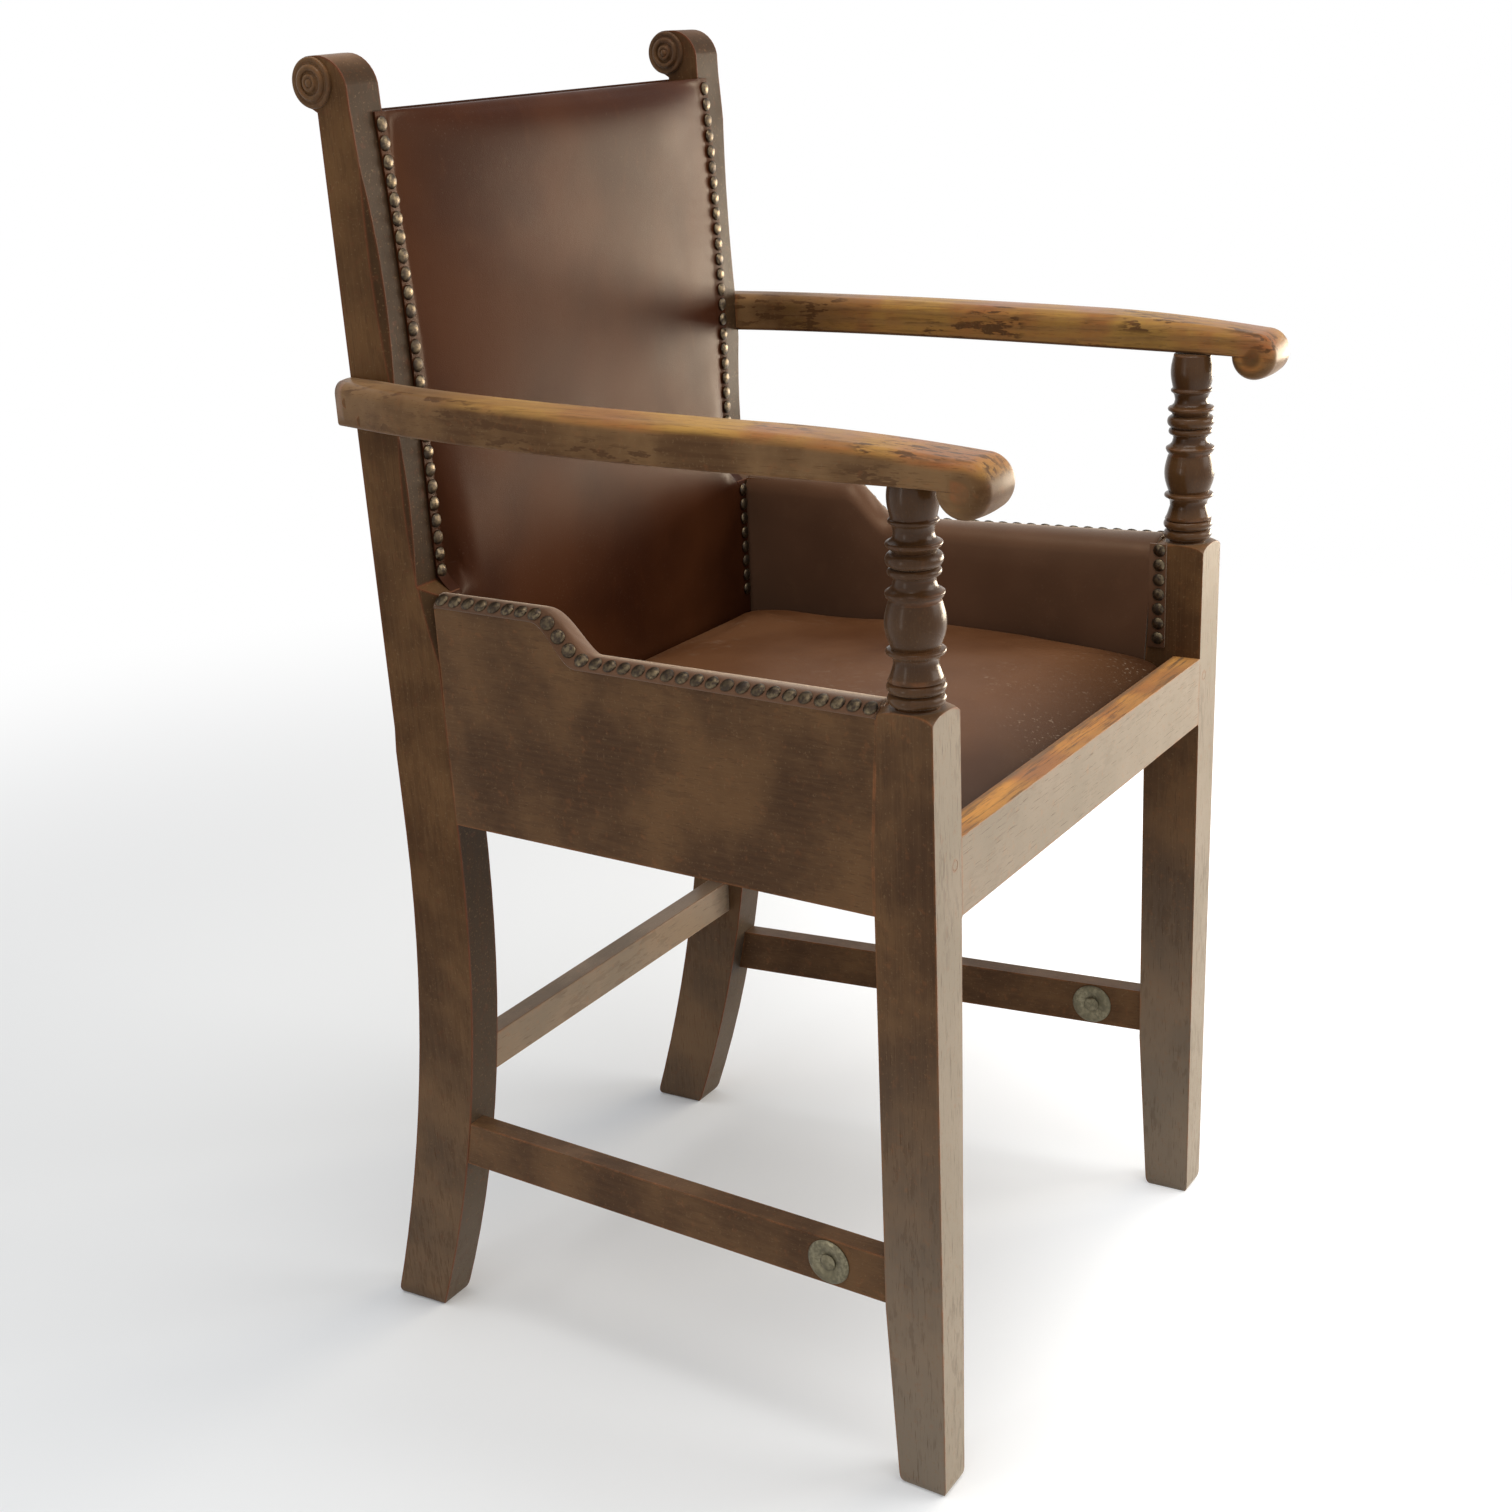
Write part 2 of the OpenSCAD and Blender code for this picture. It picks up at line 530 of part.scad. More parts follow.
// one row on the lower posts and one above their ledge, on the pad's own faces
pad_faces = [for (z = back_steps) [z, lap_front(z) - nail_lift]];
function back_row(z0, z1) = [for (i = [0:12]) let (z = mix(z0, z1, i / 12))
    [post_in(z) + nail_in, lookup(z, pad_faces), z]];
back_rows = [back_row(seat_h + 26, ledge_z - 7), back_row(ledge_z + 14, back_top - 8)];
module nails_back() color(metal) for (r = back_rows, p = spaced(r)) translate(p) rotate([90, 0, 0]) nail();
module back_nails_right() right() nails_back();
module back_nails_left() left() nails_back();

cover_nail_path = [for (z = [cover_low + 7, back_top - 8]) [post_in(z) + nail_in, up_back + leather, z]];
module nails_cover() color(metal) for (p = spaced(cover_nail_path)) translate(p) rotate([-90, 0, 0]) nail();
module cover_nails_right() right() nails_cover();
module cover_nails_left() left() nails_cover();

leg_nail_path = [for (z = [seat_h + 14, panel_front - 8]) [leg_in - leather, block_d - nail_in, z]];
module nails_leg() color(metal) for (p = spaced(leg_nail_path)) translate(p) rotate([0, -90, 0]) nail();
module leg_nails_right() right() nails_leg();
module leg_nails_left() left() nails_leg();

// along the panels' bevelled outer edge, square to the bevel
function bevel(y) = let (x = side_x(y)) [[x + 0.5, y, edge_z(y) + 2.4], [x - 6.4, y, panel_top(y) - 0.9]];
function bevel_mid(y) = (bevel(y)[0] + bevel(y)[1]) / 2;
function bevel_normal(y) = let (b = bevel(y), n = cross(bevel_mid(y + 1) - bevel_mid(y - 1), b[1] - b[0]))
    n / norm(n);
edge_path = [for (i = [0:60]) bevel_mid(mix(block_d + 5.5, post_y - 6, i / 60))];
module nails_side() color(metal) for (p = spaced(edge_path)) let (n = bevel_normal(p[1]))
    translate(p + nail_lift * n) rotate([0, acos(n[2]), atan2(n[1], n[0])]) nail();
module side_nails_right() right() nails_side();
module side_nails_left() left() nails_side();

// Loose seat: four bars, webbing and cushion

seat_in = pad_crown + nail_h + 0.6;
function seat_x(y) = mix(leg_in - leather, pad_rear, clip((y - leg_d) / (post_y - leg_d))) - seat_in;
bar_w = 44;
module seat_plan(y0, y1, in) polygon([[-seat_x(y0) + in, y0], [seat_x(y0) - in, y0],
    [seat_x(max(y0, leg_d)) - in, max(y0, leg_d)],
    [seat_x(y1) - in, y1], [-seat_x(y1) + in, y1], [-seat_x(max(y0, leg_d)) + in, max(y0, leg_d)]]);
module seat_bar(y0, y1) placed() color(wood)
    translate([0, 0, bearer_z]) linear_extrude(bar_t) seat_plan(y0, y1, 0);
module seat_frame_front() seat_bar(seat_y0, seat_y0 + bar_w);
module seat_frame_rear() seat_bar(seat_y1 - bar_w, seat_y1);
module seat_side() color(wood) translate([0, 0, bearer_z]) linear_extrude(bar_t)
    let (y0 = seat_y0 + bar_w, y1 = seat_y1 - bar_w)
        polygon([[seat_x(y0), y0], [seat_x(y1), y1], [seat_x(y1) - bar_w, y1], [seat_x(y0) - bar_w, y0]]);
module seat_frame_right() right() seat_side();
module seat_frame_left() left() seat_side();
module seat_webbing() placed() color("#b49a6e") translate([0, 0, bearer_z + bar_t]) linear_extrude(web_t)
    seat_plan(seat_y0 + 6, seat_y1 - 6, 6);

// square rings with small round corners, from the lower edge up over the crown
cush_z = bearer_z + bar_t + web_t;
seat_mid = (seat_y0 + seat_y1) / 2;
corner = 0.1;
outline = [for (q = [0:3]) let (c = cos(90 * q), n = sin(90 * q)) each [for (p = concat(
    [for (v = [-0.75, -0.4, 0, 0.4, 0.75]) [1, v]], arc(1 - corner, 1 - corner, corner, 0, 90, 4)))
        [p[0] * c - p[1] * n, p[0] * n + p[1] * c]]];
function seat_at(p, s) = let (y = seat_mid + (seat_y1 - seat_y0) / 2 * p[1] * s) [seat_x(y) * p[0] * s, y];
function seat_top(s, y) = let (edge = mix(seat_h - 2, seat_h + 13, clip((y - seat_y0) / 150)))
    mix(edge, seat_h + seat_crown, 1 - pow(s, 2.4));
cushion_rings = concat([[1, 0], [1, 0.45], [0.995, 0.8], [0.975, 1]],
    [for (reach = [0.93, 0.82, 0.66, 0.45, 0.2]) [reach, 1]]);
module seat_cushion() placed() color(hide) {
    n = len(outline);
    m = len(cushion_rings);
    points = concat([for (q = cushion_rings, o = outline) let (p = seat_at(o, q[0]))
        [p[0], p[1], mix(cush_z, seat_top(q[0], p[1]), q[1])]],
        [[0, seat_mid, cush_z], [0, seat_mid, seat_h + seat_crown]]);
    polyhedron(points, concat(
        [for (i = [0:n - 1]) [m * n, i, (i + 1) % n]],
        [for (j = [0:m - 2], i = [0:n - 1]) let (a = j * n, b = a + n, q = (i + 1) % n)
            each [[a + i, b + i, b + q], [a + i, b + q, a + q]]],
        [for (i = [0:n - 1]) [m * n + 1, (m - 1) * n + (i + 1) % n, (m - 1) * n + i]]));
}

rear_post_right();
rear_post_left();
front_leg_right();
front_leg_left();
arm_right();
arm_left();
side_panel_right();
side_panel_left();
front_rail();
rear_seat_rail();
back_top_rail();
back_lower_rail();
side_stretcher_right();
side_stretcher_left();
rear_stretcher();
roundel_right_outer();
roundel_right_inner();
roundel_left_outer();
roundel_left_inner();
washer_right_outer();
washer_right_inner();
washer_left_outer();
washer_left_inner();
bolt_right();
bolt_left();
nut_right();
nut_left();
peg_right();
peg_left();
arm_screws_right();
arm_screws_left();
bearer_front();
bearer_rear();
bearer_right();
bearer_left();
side_pad_right();
side_pad_left();
back_pad();
back_outer_cover();
back_nails_right();
back_nails_left();
side_nails_right();
side_nails_left();
leg_nails_right();
leg_nails_left();
cover_nails_right();
cover_nails_left();
seat_frame_front();
seat_frame_rear();
seat_frame_right();
seat_frame_left();
seat_webbing();
seat_cushion();
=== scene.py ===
"""Looks of the open-arm chair: waxed dark oak, nailed brown leather and a loose seat.

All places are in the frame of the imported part: +X is the sitter's left, -Y the front and
the floor is z = 0. Lengths inside the Layout are millimetres, with depth measured back
from the front legs' faces; Layout.at turns them into metres in the frame. The left side
is built, and the right side is its mirror image.
"""

import logging
import math
from dataclasses import dataclass
from enum import Enum
from typing import Callable, Iterable, Sequence

import bmesh
import bpy
from mathutils import Matrix, Vector

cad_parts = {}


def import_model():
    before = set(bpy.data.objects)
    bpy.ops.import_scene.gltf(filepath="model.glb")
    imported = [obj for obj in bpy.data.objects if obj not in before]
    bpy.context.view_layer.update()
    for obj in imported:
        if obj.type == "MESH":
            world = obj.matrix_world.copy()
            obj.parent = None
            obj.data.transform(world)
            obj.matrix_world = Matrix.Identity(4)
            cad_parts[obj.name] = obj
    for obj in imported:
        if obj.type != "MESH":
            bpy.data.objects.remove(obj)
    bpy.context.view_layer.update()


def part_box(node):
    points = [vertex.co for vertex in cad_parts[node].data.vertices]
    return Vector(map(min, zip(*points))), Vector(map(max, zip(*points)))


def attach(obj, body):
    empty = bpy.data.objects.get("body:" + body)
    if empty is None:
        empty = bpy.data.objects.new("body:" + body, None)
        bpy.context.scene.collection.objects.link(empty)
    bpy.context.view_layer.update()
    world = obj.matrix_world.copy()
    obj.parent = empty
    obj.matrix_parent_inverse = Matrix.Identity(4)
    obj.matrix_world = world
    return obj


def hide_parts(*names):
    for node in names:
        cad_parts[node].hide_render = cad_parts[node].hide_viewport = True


log = logging.getLogger("armchair")

Point = tuple[float, float]
Point3 = tuple[float, float, float]
Colour = tuple[float, float, float]
Row = list[Vector]
Solid = bmesh.types.BMesh
Object = bpy.types.Object
Material = bpy.types.Material
Tree = bpy.types.NodeTree
Node = bpy.types.Node
Socket = bpy.types.NodeSocket


class Side(Enum):
    """The two sides of the chair, as the sitter names them."""

    LEFT = "left"
    RIGHT = "right"

    @property
    def sign(self) -> int:
        """Sign of x on this side."""
        return 1 if self is Side.LEFT else -1


class Grain(Enum):
    """Direction of a timber's grain, as the turn that brings it upright."""

    UPRIGHT = (0.0, 0.0, 0.0)
    DEPTHWISE = (math.pi / 2, 0.0, 0.0)
    CROSSWISE = (0.0, math.pi / 2, 0.0)


# Sizes


def mix(a: float, b: float, t: float) -> float:
    """Value between a and b at t."""
    return a + (b - a) * t


def clip(t: float) -> float:
    """t held between 0 and 1."""
    return min(1.0, max(0.0, t))


def ease(t: float) -> float:
    """Smooth step of t."""
    t = clip(t)
    return t * t * (3 - 2 * t)


def arc(cx: float, cy: float, r: float, a0: float, a1: float, n: int) -> list[Point]:
    """Points along an arc.

    Args:
        cx: centre, first coordinate.
        cy: centre, second coordinate.
        r: radius.
        a0: first angle in degrees.
        a1: last angle in degrees.
        n: number of steps.

    Returns:
        n + 1 points from a0 to a1.
    """
    angles = [math.radians(mix(a0, a1, i / n)) for i in range(n + 1)]
    return [(cx + r * math.cos(a), cy + r * math.sin(a)) for a in angles]


@dataclass(frozen=True)
class Layout:
    """Driving sizes of the chair in millimetres, as the part's source has them."""

    front_w: float = 504
    rear_w: float = 442
    body_d: float = 453
    seat_h: float = 484
    total_h: float = 958
    splay: float = 0.83
    leg_w: float = 38
    leg_d: float = 45.5
    block_d: float = 40
    post_w: float = 32
    post_y: float = 403
    panel_front: float = 576
    panel_rear: float = 605
    panel_t: float = 16
    arm_z: float = 715
    arm_w: float = 45
    arm_bow: float = 15.5
    nose_y: float = -28
    leather: float = 1.8
    pad_crown: float = 3
    back_crown: float = 10
    nail_d: float = 9.2
    nail_h: float = 1.9
    edge_drop: float = 8.5
    bearer_z: float = 454
    back_low: float = 487
    back_top: float = 922
    front: float = -0.23885

    def at(self, x: float, y: float, z: float) -> Vector:
        """Point in metres in the frame from millimetres."""
        return Vector((x / 1000, self.front + y / 1000, z / 1000))

    @property
    def leg_in(self) -> float:
        """Inner face of the front legs."""
        return self.front_w / 2 - self.leg_w

    @property
    def foot_x(self) -> float:
        """Outer face of the back posts at the floor."""
        return self.rear_w / 2 - math.tan(math.radians(self.splay)) * (self.seat_h + 30)

    @property
    def ledge_z(self) -> float:
        """Height of the ledge where the back posts get thinner."""
        return self.panel_rear - 3

    @property
    def up_y(self) -> float:
        """Front face of the posts above the ledge."""
        return self.post_y + 12.5

    @property
    def up_back(self) -> float:
        """Back face of the posts above the seat."""
        return self.body_d - 1.5

    @property
    def rail_y(self) -> float:
        """Front face of the back's rails."""
        return self.up_y + 10.5

    @property
    def lap_x(self) -> float:
        """Width of the leather laps on the posts."""
        return self.nail_d + 0.8

    def side_x(self, y: float) -> float:
        """Outer face of the side panels."""
        return self.front_w / 2 - (self.front_w - self.rear_w) / 2 / self.post_y * y

    def post_in(self, z: float) -> float:
        """Inner face of the back posts."""
        return self.foot_x + math.tan(math.radians(self.splay)) * z - self.post_w

    def post_front(self, z: float) -> float:
        """Front face of the back posts above the seat.

        Args:
            z: height.

        Returns:
            Depth behind the front legs' faces.
        """
        if z < self.ledge_z + 8:
            return mix(self.post_y, self.up_y, clip((z - self.ledge_z) / 8))
        lean = max(0.0, (z - self.arm_z + 15) / (self.total_h - 16.4 - self.arm_z))
        return self.up_y + 9 * lean**2.2

    def panel_top(self, y: float) -> float:
        """Top of the leather over the side panels, with its S-curve."""
        swoop = self.post_y - 115
        return mix(self.panel_front, self.panel_rear, ease((y - swoop + 20) / 40))

    def edge_z(self, y: float) -> float:
        """Lower edge of the leather on the panels' outer faces."""
        swoop = self.post_y - 115
        return mix(self.panel_front, self.panel_rear, ease((y - swoop + 8) / 34)) - self.edge_drop

    def leg_back(self, z: float) -> float:
        """Back face of the front legs above the seat."""
        t = clip((z - self.seat_h + 6) / (self.panel_front - self.seat_h))
        return mix(self.leg_d, self.block_d, t)

    @property
    def pad_rear(self) -> float:
        """Inner face of the side pads at the posts."""
        return self.post_in(self.panel_front) + self.lap_x + 1

    def pad_in(self, y: float) -> float:
        """Inner face of the side pads in plan."""
        t = clip((y - self.leg_d) / (self.post_y - self.leg_d))
        straight = mix(self.leg_in - self.leather, self.pad_rear, t)
        return straight - self.pad_crown * math.sin(math.pi * t)

    def back_mid(self, z: float) -> float:
        """Front of the back pad halfway between the posts.

        Args:
            z: height.

        Returns:
            Depth behind the front legs' faces.
        """
        t = clip((z - self.back_top + 40) / 40)
        turn = 0.35 * t * t + 0.65 * t**7
        full = self.up_y - self.back_crown - 3 * (1 - ease((z - self.ledge_z) / 140))
        return mix(full, self.rail_y - 5, turn)

    def back_face(self, u: float, z: float) -> float:
        """Front of the back pad at u, from -1 at one post to 1 at the other."""
        calm = mix(self.post_y, self.post_front(z), ease((z - self.ledge_z) / 140))
        held = mix(calm, self.post_front(z - 0.46), clip((abs(u) - 0.86) / 0.14) ** 2)
        return mix(self.back_mid(z), held - self.leather, abs(u) ** 3.2)


# Mesh making


def as_object(name: str, mesh: bpy.types.Mesh) -> Object:
    """Puts a mesh into the scene as an object at the origin.

    Args:
        name: name of the object.
        mesh: its mesh, which takes the name too.

    Returns:
        The new object.
    """
    mesh.name = name
    obj = bpy.data.objects.new(name, mesh)
    bpy.context.scene.collection.objects.link(obj)
    return obj


def from_bmesh(name: str, bm: Solid, sharp: float = 38) -> Object:
    """Makes an object of a bmesh and shades it smooth.

    Args:
        name: name of the object.
        bm: the bmesh, which is freed.
        sharp: angle in degrees past which an edge stays crisp.

    Returns:
        The new object.
    """
    mesh = bpy.data.meshes.new(name)
    bm.to_mesh(mesh)
    bm.free()
    shade(mesh, sharp)
    return as_object(name, mesh)


def shade(mesh: bpy.types.Mesh, sharp: float = 38) -> None:
    """Shades a mesh smooth up to an edge angle in degrees."""
    mesh.polygons.foreach_set("use_smooth", [True] * len(mesh.polygons))
    mesh.set_sharp_from_angle(angle=math.radians(sharp))
    mesh.update()


def merged(node: str) -> Solid:
    """Copy of a CAD node's mesh with its loose triangles joined into clean faces.

    Args:
        node: name of the CAD node.

    Returns:
        A bmesh that the caller frees.
    """
    bm = bmesh.new()
    bm.from_mesh(bpy.data.objects[node].data)
    bmesh.ops.remove_doubles(bm, verts=bm.verts, dist=2e-5)
    bmesh.ops.dissolve_degenerate(bm, edges=bm.edges, dist=2e-5)
    return bm


def softened(bm: Solid, width: float, steps: int = 3, angle: float = 32) -> None:
    """Rounds every hard edge of a timber, as handling wears it.

    Args:
        bm: the timber, changed in place.
        width: width of the rounding in millimetres.
        steps: segments of the rounding.
        angle: edge angle in degrees from which an edge is rounded.
    """
    bmesh.ops.dissolve_limit(
        bm,
        angle_limit=math.radians(0.6),
        verts=bm.verts,
        edges=bm.edges,
        delimit={"NORMAL"},
    )
    limit = math.radians(angle)
    hard = [e for e in bm.edges if len(e.link_faces) == 2 and e.calc_face_angle(0) > limit]
    bmesh.ops.bevel(
        bm,
        geom=hard,
        offset=width / 1000,
        offset_type="OFFSET",
        segments=steps,
        profile=0.5,
        affect="EDGES",
        clamp_overlap=True,
    )
    bmesh.ops.remove_doubles(bm, verts=bm.verts, dist=1e-5)


def sliced(bm: Solid, z: float, clear: bool = False) -> list[bmesh.types.BMEdge]:
    """Cuts a mesh level.

    Args:
        bm: the mesh, changed in place.
        z: height of the cut in metres.
        clear: whether what is above the cut is dropped.

    Returns:
        The edges of the cut.
    """
    every = bm.verts[:] + bm.edges[:] + bm.faces[:]
    done = bmesh.ops.bisect_plane(bm, geom=every, plane_co=(0, 0, z), plane_no=(0, 0, 1), clear_outer=clear)
    return [e for e in done["geom_cut"] if isinstance(e, bmesh.types.BMEdge)]


def worn_foot(bm: Solid, height: float = 8, inset: float = 3.5) -> None:
    """Rounds the bottom of a leg as floors wear it, drawing it in towards its middle.

    Args:
        bm: the leg, standing on z = 0, changed in place.
        height: height of the rounding in millimetres.
        inset: how far the sole lies inside the leg in millimetres.
    """
    for share in (1.0, 0.6, 0.32, 0.14, 0.04):
        sliced(bm, height * share / 1000)
    low = [v for v in bm.verts if v.co.z < height / 1000]
    sole = [v.co for v in low if v.co.z < 1e-5]
    middle = sum(sole, Vector()) / len(sole)
    reach = [max(abs(p[i] - middle[i]) for p in sole) for i in range(2)]
    for v in low:
        rise = clip(v.co.z * 1000 / height)
        drawn = inset / 1000 * (1 - math.sqrt(1 - (1 - rise) ** 2))
        for i in range(2):
            v.co[i] -= drawn * (v.co[i] - middle[i]) / reach[i]


def lathe(bm: Solid, profile: Sequence[Point], segments: int, place: Matrix, unit: float = 1000) -> None:
    """Turns a profile round its axis, with closed poles.

    Args:
        bm: the mesh that gets the turning.
        profile: (radius, height) in millimetres, from one pole to the other.
        segments: faces round the axis.
        place: puts the axis, which is +Z, in the frame.
        unit: how many of the profile's units make a metre.
    """
    rings = []
    for r, z in ((r / unit, z / unit) for r, z in profile):
        if r < 1e-7:
            rings.append([bm.verts.new(place @ Vector((0, 0, z)))])
            continue
        turn = [2 * math.pi * i / segments for i in range(segments)]
        ring = [place @ Vector((r * math.cos(a), r * math.sin(a), z)) for a in turn]
        rings.append([bm.verts.new(p) for p in ring])
    for low, high in zip(rings, rings[1:]):
        for i in range(segments):
            j = (i + 1) % segments
            corners = [low[i % len(low)], low[j % len(low)], high[j % len(high)], high[i % len(high)]]
            bm.faces.new(list(dict.fromkeys(corners)))


def shell(bm: Solid, rings: Sequence[Sequence[Vector]]) -> None:
    """Skins closed rings of equal length and caps both ends.

    Args:
        bm: the mesh that gets the skin.
        rings: points of each ring, in order.
    """
    rows = [[bm.verts.new(p) for p in ring] for ring in rings]
    n = len(rows[0])
    for a, b in zip(rows, rows[1:]):
        for i in range(n):
            j = (i + 1) % n
            bm.faces.new((a[i], b[i], b[j], a[j]))
    bm.faces.new(rows[0])
    bm.faces.new(rows[-1][::-1])


def tidy_normals(bm: Solid, dist: float = 1e-5) -> None:
    """Merges doubles and turns the faces outward."""
    bmesh.ops.remove_doubles(bm, verts=bm.verts, dist=dist)
    bmesh.ops.dissolve_degenerate(bm, edges=bm.edges, dist=dist / 2)
    bmesh.ops.recalc_face_normals(bm, faces=bm.faces)


def mirrored(bm: Solid, side: Side) -> None:
    """Mirrors a left piece to the right side, and leaves a left one alone."""
    if side is Side.RIGHT:
        bmesh.ops.scale(bm, vec=(-1, 1, 1), verts=bm.verts)
        bmesh.ops.reverse_faces(bm, faces=bm.faces)


def turned_piece(
    name: str, profile: Sequence[Point], segments: int, place: Matrix, sharp: float, clean: bool = True
) -> Object:
    """Turns one piece in its seat.

    Args:
        name: name of the piece.
        profile: (radius, height) in millimetres.
        segments: faces round the axis.
        place: puts the axis, which is +Z, in the frame.
        sharp: angle in degrees past which an edge stays crisp.
        clean: whether doubles are merged and the faces turned outward.

    Returns:
        The piece.
    """
    bm = bmesh.new()
    lathe(bm, profile, segments, place)
    if clean:
        tidy_normals(bm, 1e-6)
    return from_bmesh(name, bm, sharp)


def capped(step: Vector, cap: float) -> Vector:
    """A step held to a length."""
    return step.normalized() * cap if step.length > cap else step


def smoothed(obj: Object, sharp: float) -> None:
    """Subdivides a piece once and shades it up to an edge angle in degrees.

    Args:
        obj: the piece.
        sharp: the angle past which an edge stays crisp.
    """
    smooth = obj.modifiers.new("smooth", "SUBSURF")
    smooth.levels = 1
    smooth.render_levels = 1
    evaluated(obj)
    shade(obj.data, sharp)


def evaluated(obj: Object) -> Object:
    """Replaces an object's mesh by its modified one and drops the modifiers.

    Args:
        obj: the object.

    Returns:
        The same object.
    """
    graph = bpy.context.evaluated_depsgraph_get()
    mesh = bpy.data.meshes.new_from_object(obj.evaluated_get(graph))
    obj.modifiers.clear()
    obj.data = mesh
    mesh.name = obj.name
    return obj


@dataclass
class Seat:
    """Where a small fitting sits: the centre of its flat base and the way it faces."""

    centre: Vector
    facing: Vector

    def place(self) -> Matrix:
        """Matrix that puts a fitting drawn on the XY plane in its seat."""
        turn = self.facing.to_track_quat("Z", "Y").to_matrix().to_4x4()
        return Matrix.Translation(self.centre) @ turn


def seats_of(node: str) -> list[Seat]:
    """Finds the seat of each separate solid of a CAD node by its largest flat face.

    Args:
        node: CAD node of nails, washers or roundels.

    Returns:
        One seat for each solid.
    """
    bm = merged(node)
    bm.faces.index_update()
    found: set[int] = set()
    seats = []
    for start in bm.faces:
        if start.index in found:
            continue
        found.add(start.index)
        island = []
        queue = [start]
        while queue:
            face = queue.pop()
            island.append(face)
            for near in (f for e in face.edges for f in e.link_faces):
                if near.index not in found:
                    found.add(near.index)
                    queue.append(near)
        flats: dict[tuple, list] = {}
        for face in island:
            flats.setdefault(tuple(round(c, 2) for c in face.normal), []).append(face)
        base = max(flats.values(), key=lambda faces: sum(f.calc_area() for f in faces))
        area = sum(f.calc_area() for f in base)
        centre = sum((f.calc_center_median() * f.calc_area() for f in base), Vector()) / area
        seats.append(Seat(centre, -base[0].normal.copy()))
    bm.free()
    return seats


# Node trees


def rgba(colour: Colour) -> tuple[float, float, float, float]:
    """Colour with full alpha."""
    return (*colour, 1.0)


class Board:
    """Short way to lay nodes in a tree and join them."""

    def __init__(self, tree: Tree) -> None:
        """Takes an empty node tree."""
        self.tree = tree

    def add(self, kind: str, props: dict | None = None, **inputs: object) -> Node:
        """Adds a node, sets its properties and sets or links its inputs.

        Args:
            kind: Blender's name of the node's type.
            props: properties to set on the node.
            **inputs: values or sockets by input name, with _ for a space.

        Returns:
            The node.
        """
        node = self.tree.nodes.new(kind)
        for key, value in (props or {}).items():
            setattr(node, key, value)
        for key, value in inputs.items():
            self.put(node.inputs[key.replace("_", " ")], value)
        return node

    def put(self, socket: Socket, value: object) -> None:
        """Links a socket to an input, or sets the input's value.

        Args:
            socket: the input.
            value: socket or plain value.
        """
        if isinstance(value, Socket):
            self.tree.links.new(value, socket)
        else:
            socket.default_value = value

    def math(self, what: str, a: object, b: object = 0.0, c: object = 0.0, clamp: bool = False) -> Socket:
        """Math node on two or three values.

        Args:
            what: operation.
            a: first value.
            b: second value.
            c: third value.
            clamp: whether the result is held between 0 and 1.

        Returns:
            The result.
        """
        node = self.add("ShaderNodeMath", {"operation": what, "use_clamp": clamp})
        for socket, value in zip(node.inputs, (a, b, c)):
            self.put(socket, value)
        return node.outputs[0]

    def times(self, a: object, b: object, clamp: bool = False) -> Socket:
        """Product of two values."""
        return self.math("MULTIPLY", a, b, clamp=clamp)

    def blend(self, t: object, a: object, b: object) -> Socket:
        """Colour between a and b at t.

        Args:
            t: share of b.
            a: colour at 0.
            b: colour at 1.

        Returns:
            The mixed colour.
        """
        node = self.add("ShaderNodeMix", {"data_type": "RGBA", "clamp_factor": True})
        for i, value in zip((0, 6, 7), (t, a, b)):
            self.put(node.inputs[i], value)
        return node.outputs[2]

    def over(self, base: Socket, mask: object, share: object, colour: Colour) -> Socket:
        """Base with a colour laid over it by a share of the mask."""
        return self.blend(self.times(mask, share), base, rgba(colour))

    def span(self, value: object, a: float, b: float, c: float = 0.0, d: float = 1.0) -> Socket:
        """Smooth step of a value from a..b to c..d.

        Args:
            value: what is mapped.
            a: start of the step.
            b: end of the step.
            c: result at the start.
            d: result at the end.

        Returns:
            The mapped value.
        """
        node = self.add("ShaderNodeMapRange", {"interpolation_type": "SMOOTHSTEP"})
        for i, v in enumerate((value, a, b, c, d)):
            self.put(node.inputs[i], v)
        return node.outputs[0]

    def noise(self, vector: Socket, scale: float, detail: float = 3.0, rough: float = 0.5) -> Socket:
        """Value of a noise texture."""
        node = self.add("ShaderNodeTexNoise", Vector=vector, Scale=scale, Detail=detail, Roughness=rough)
        return node.outputs[0]

    def moved(self, vector: Socket, props: dict | None = None, **inputs: object) -> Socket:
        """Vector moved, turned or scaled by a Mapping node."""
        return self.add("ShaderNodeMapping", props, Vector=vector, **inputs).outputs[0]

    def stretch(self, vector: Socket, x: float, y: float, z: float) -> Socket:
        """Vector scaled along its axes."""
        return self.moved(vector, Scale=(x, y, z))

    def vector(self, what: str, *values: object) -> Node:
        """Vector math node on two or three vectors.

        Args:
            what: operation.
            *values: vectors, in the order of the inputs.

        Returns:
            The node.
        """
        node = self.add("ShaderNodeVectorMath", {"operation": what})
        for socket, value in zip(node.inputs, values):
            self.put(socket, value)
        return node

    def split(self, vector: Socket) -> dict:
        """X, Y and Z of a vector."""
        return self.add("ShaderNodeSeparateXYZ", Vector=vector).outputs

    def normal(self) -> dict:
        """X, Y and Z of the surface's normal."""
        return self.split(self.add("ShaderNodeNewGeometry").outputs["Normal"])

    def seen(self) -> Socket:
        """1 for rays of the camera, mirrors and glass, 0 for the light that falls on the chair."""
        path = self.add("ShaderNodeLightPath").outputs
        mirrored_rays = self.math("MAXIMUM", path["Is Glossy Ray"], path["Is Transmission Ray"])
        return self.math("MAXIMUM", path["Is Camera Ray"], mirrored_rays)

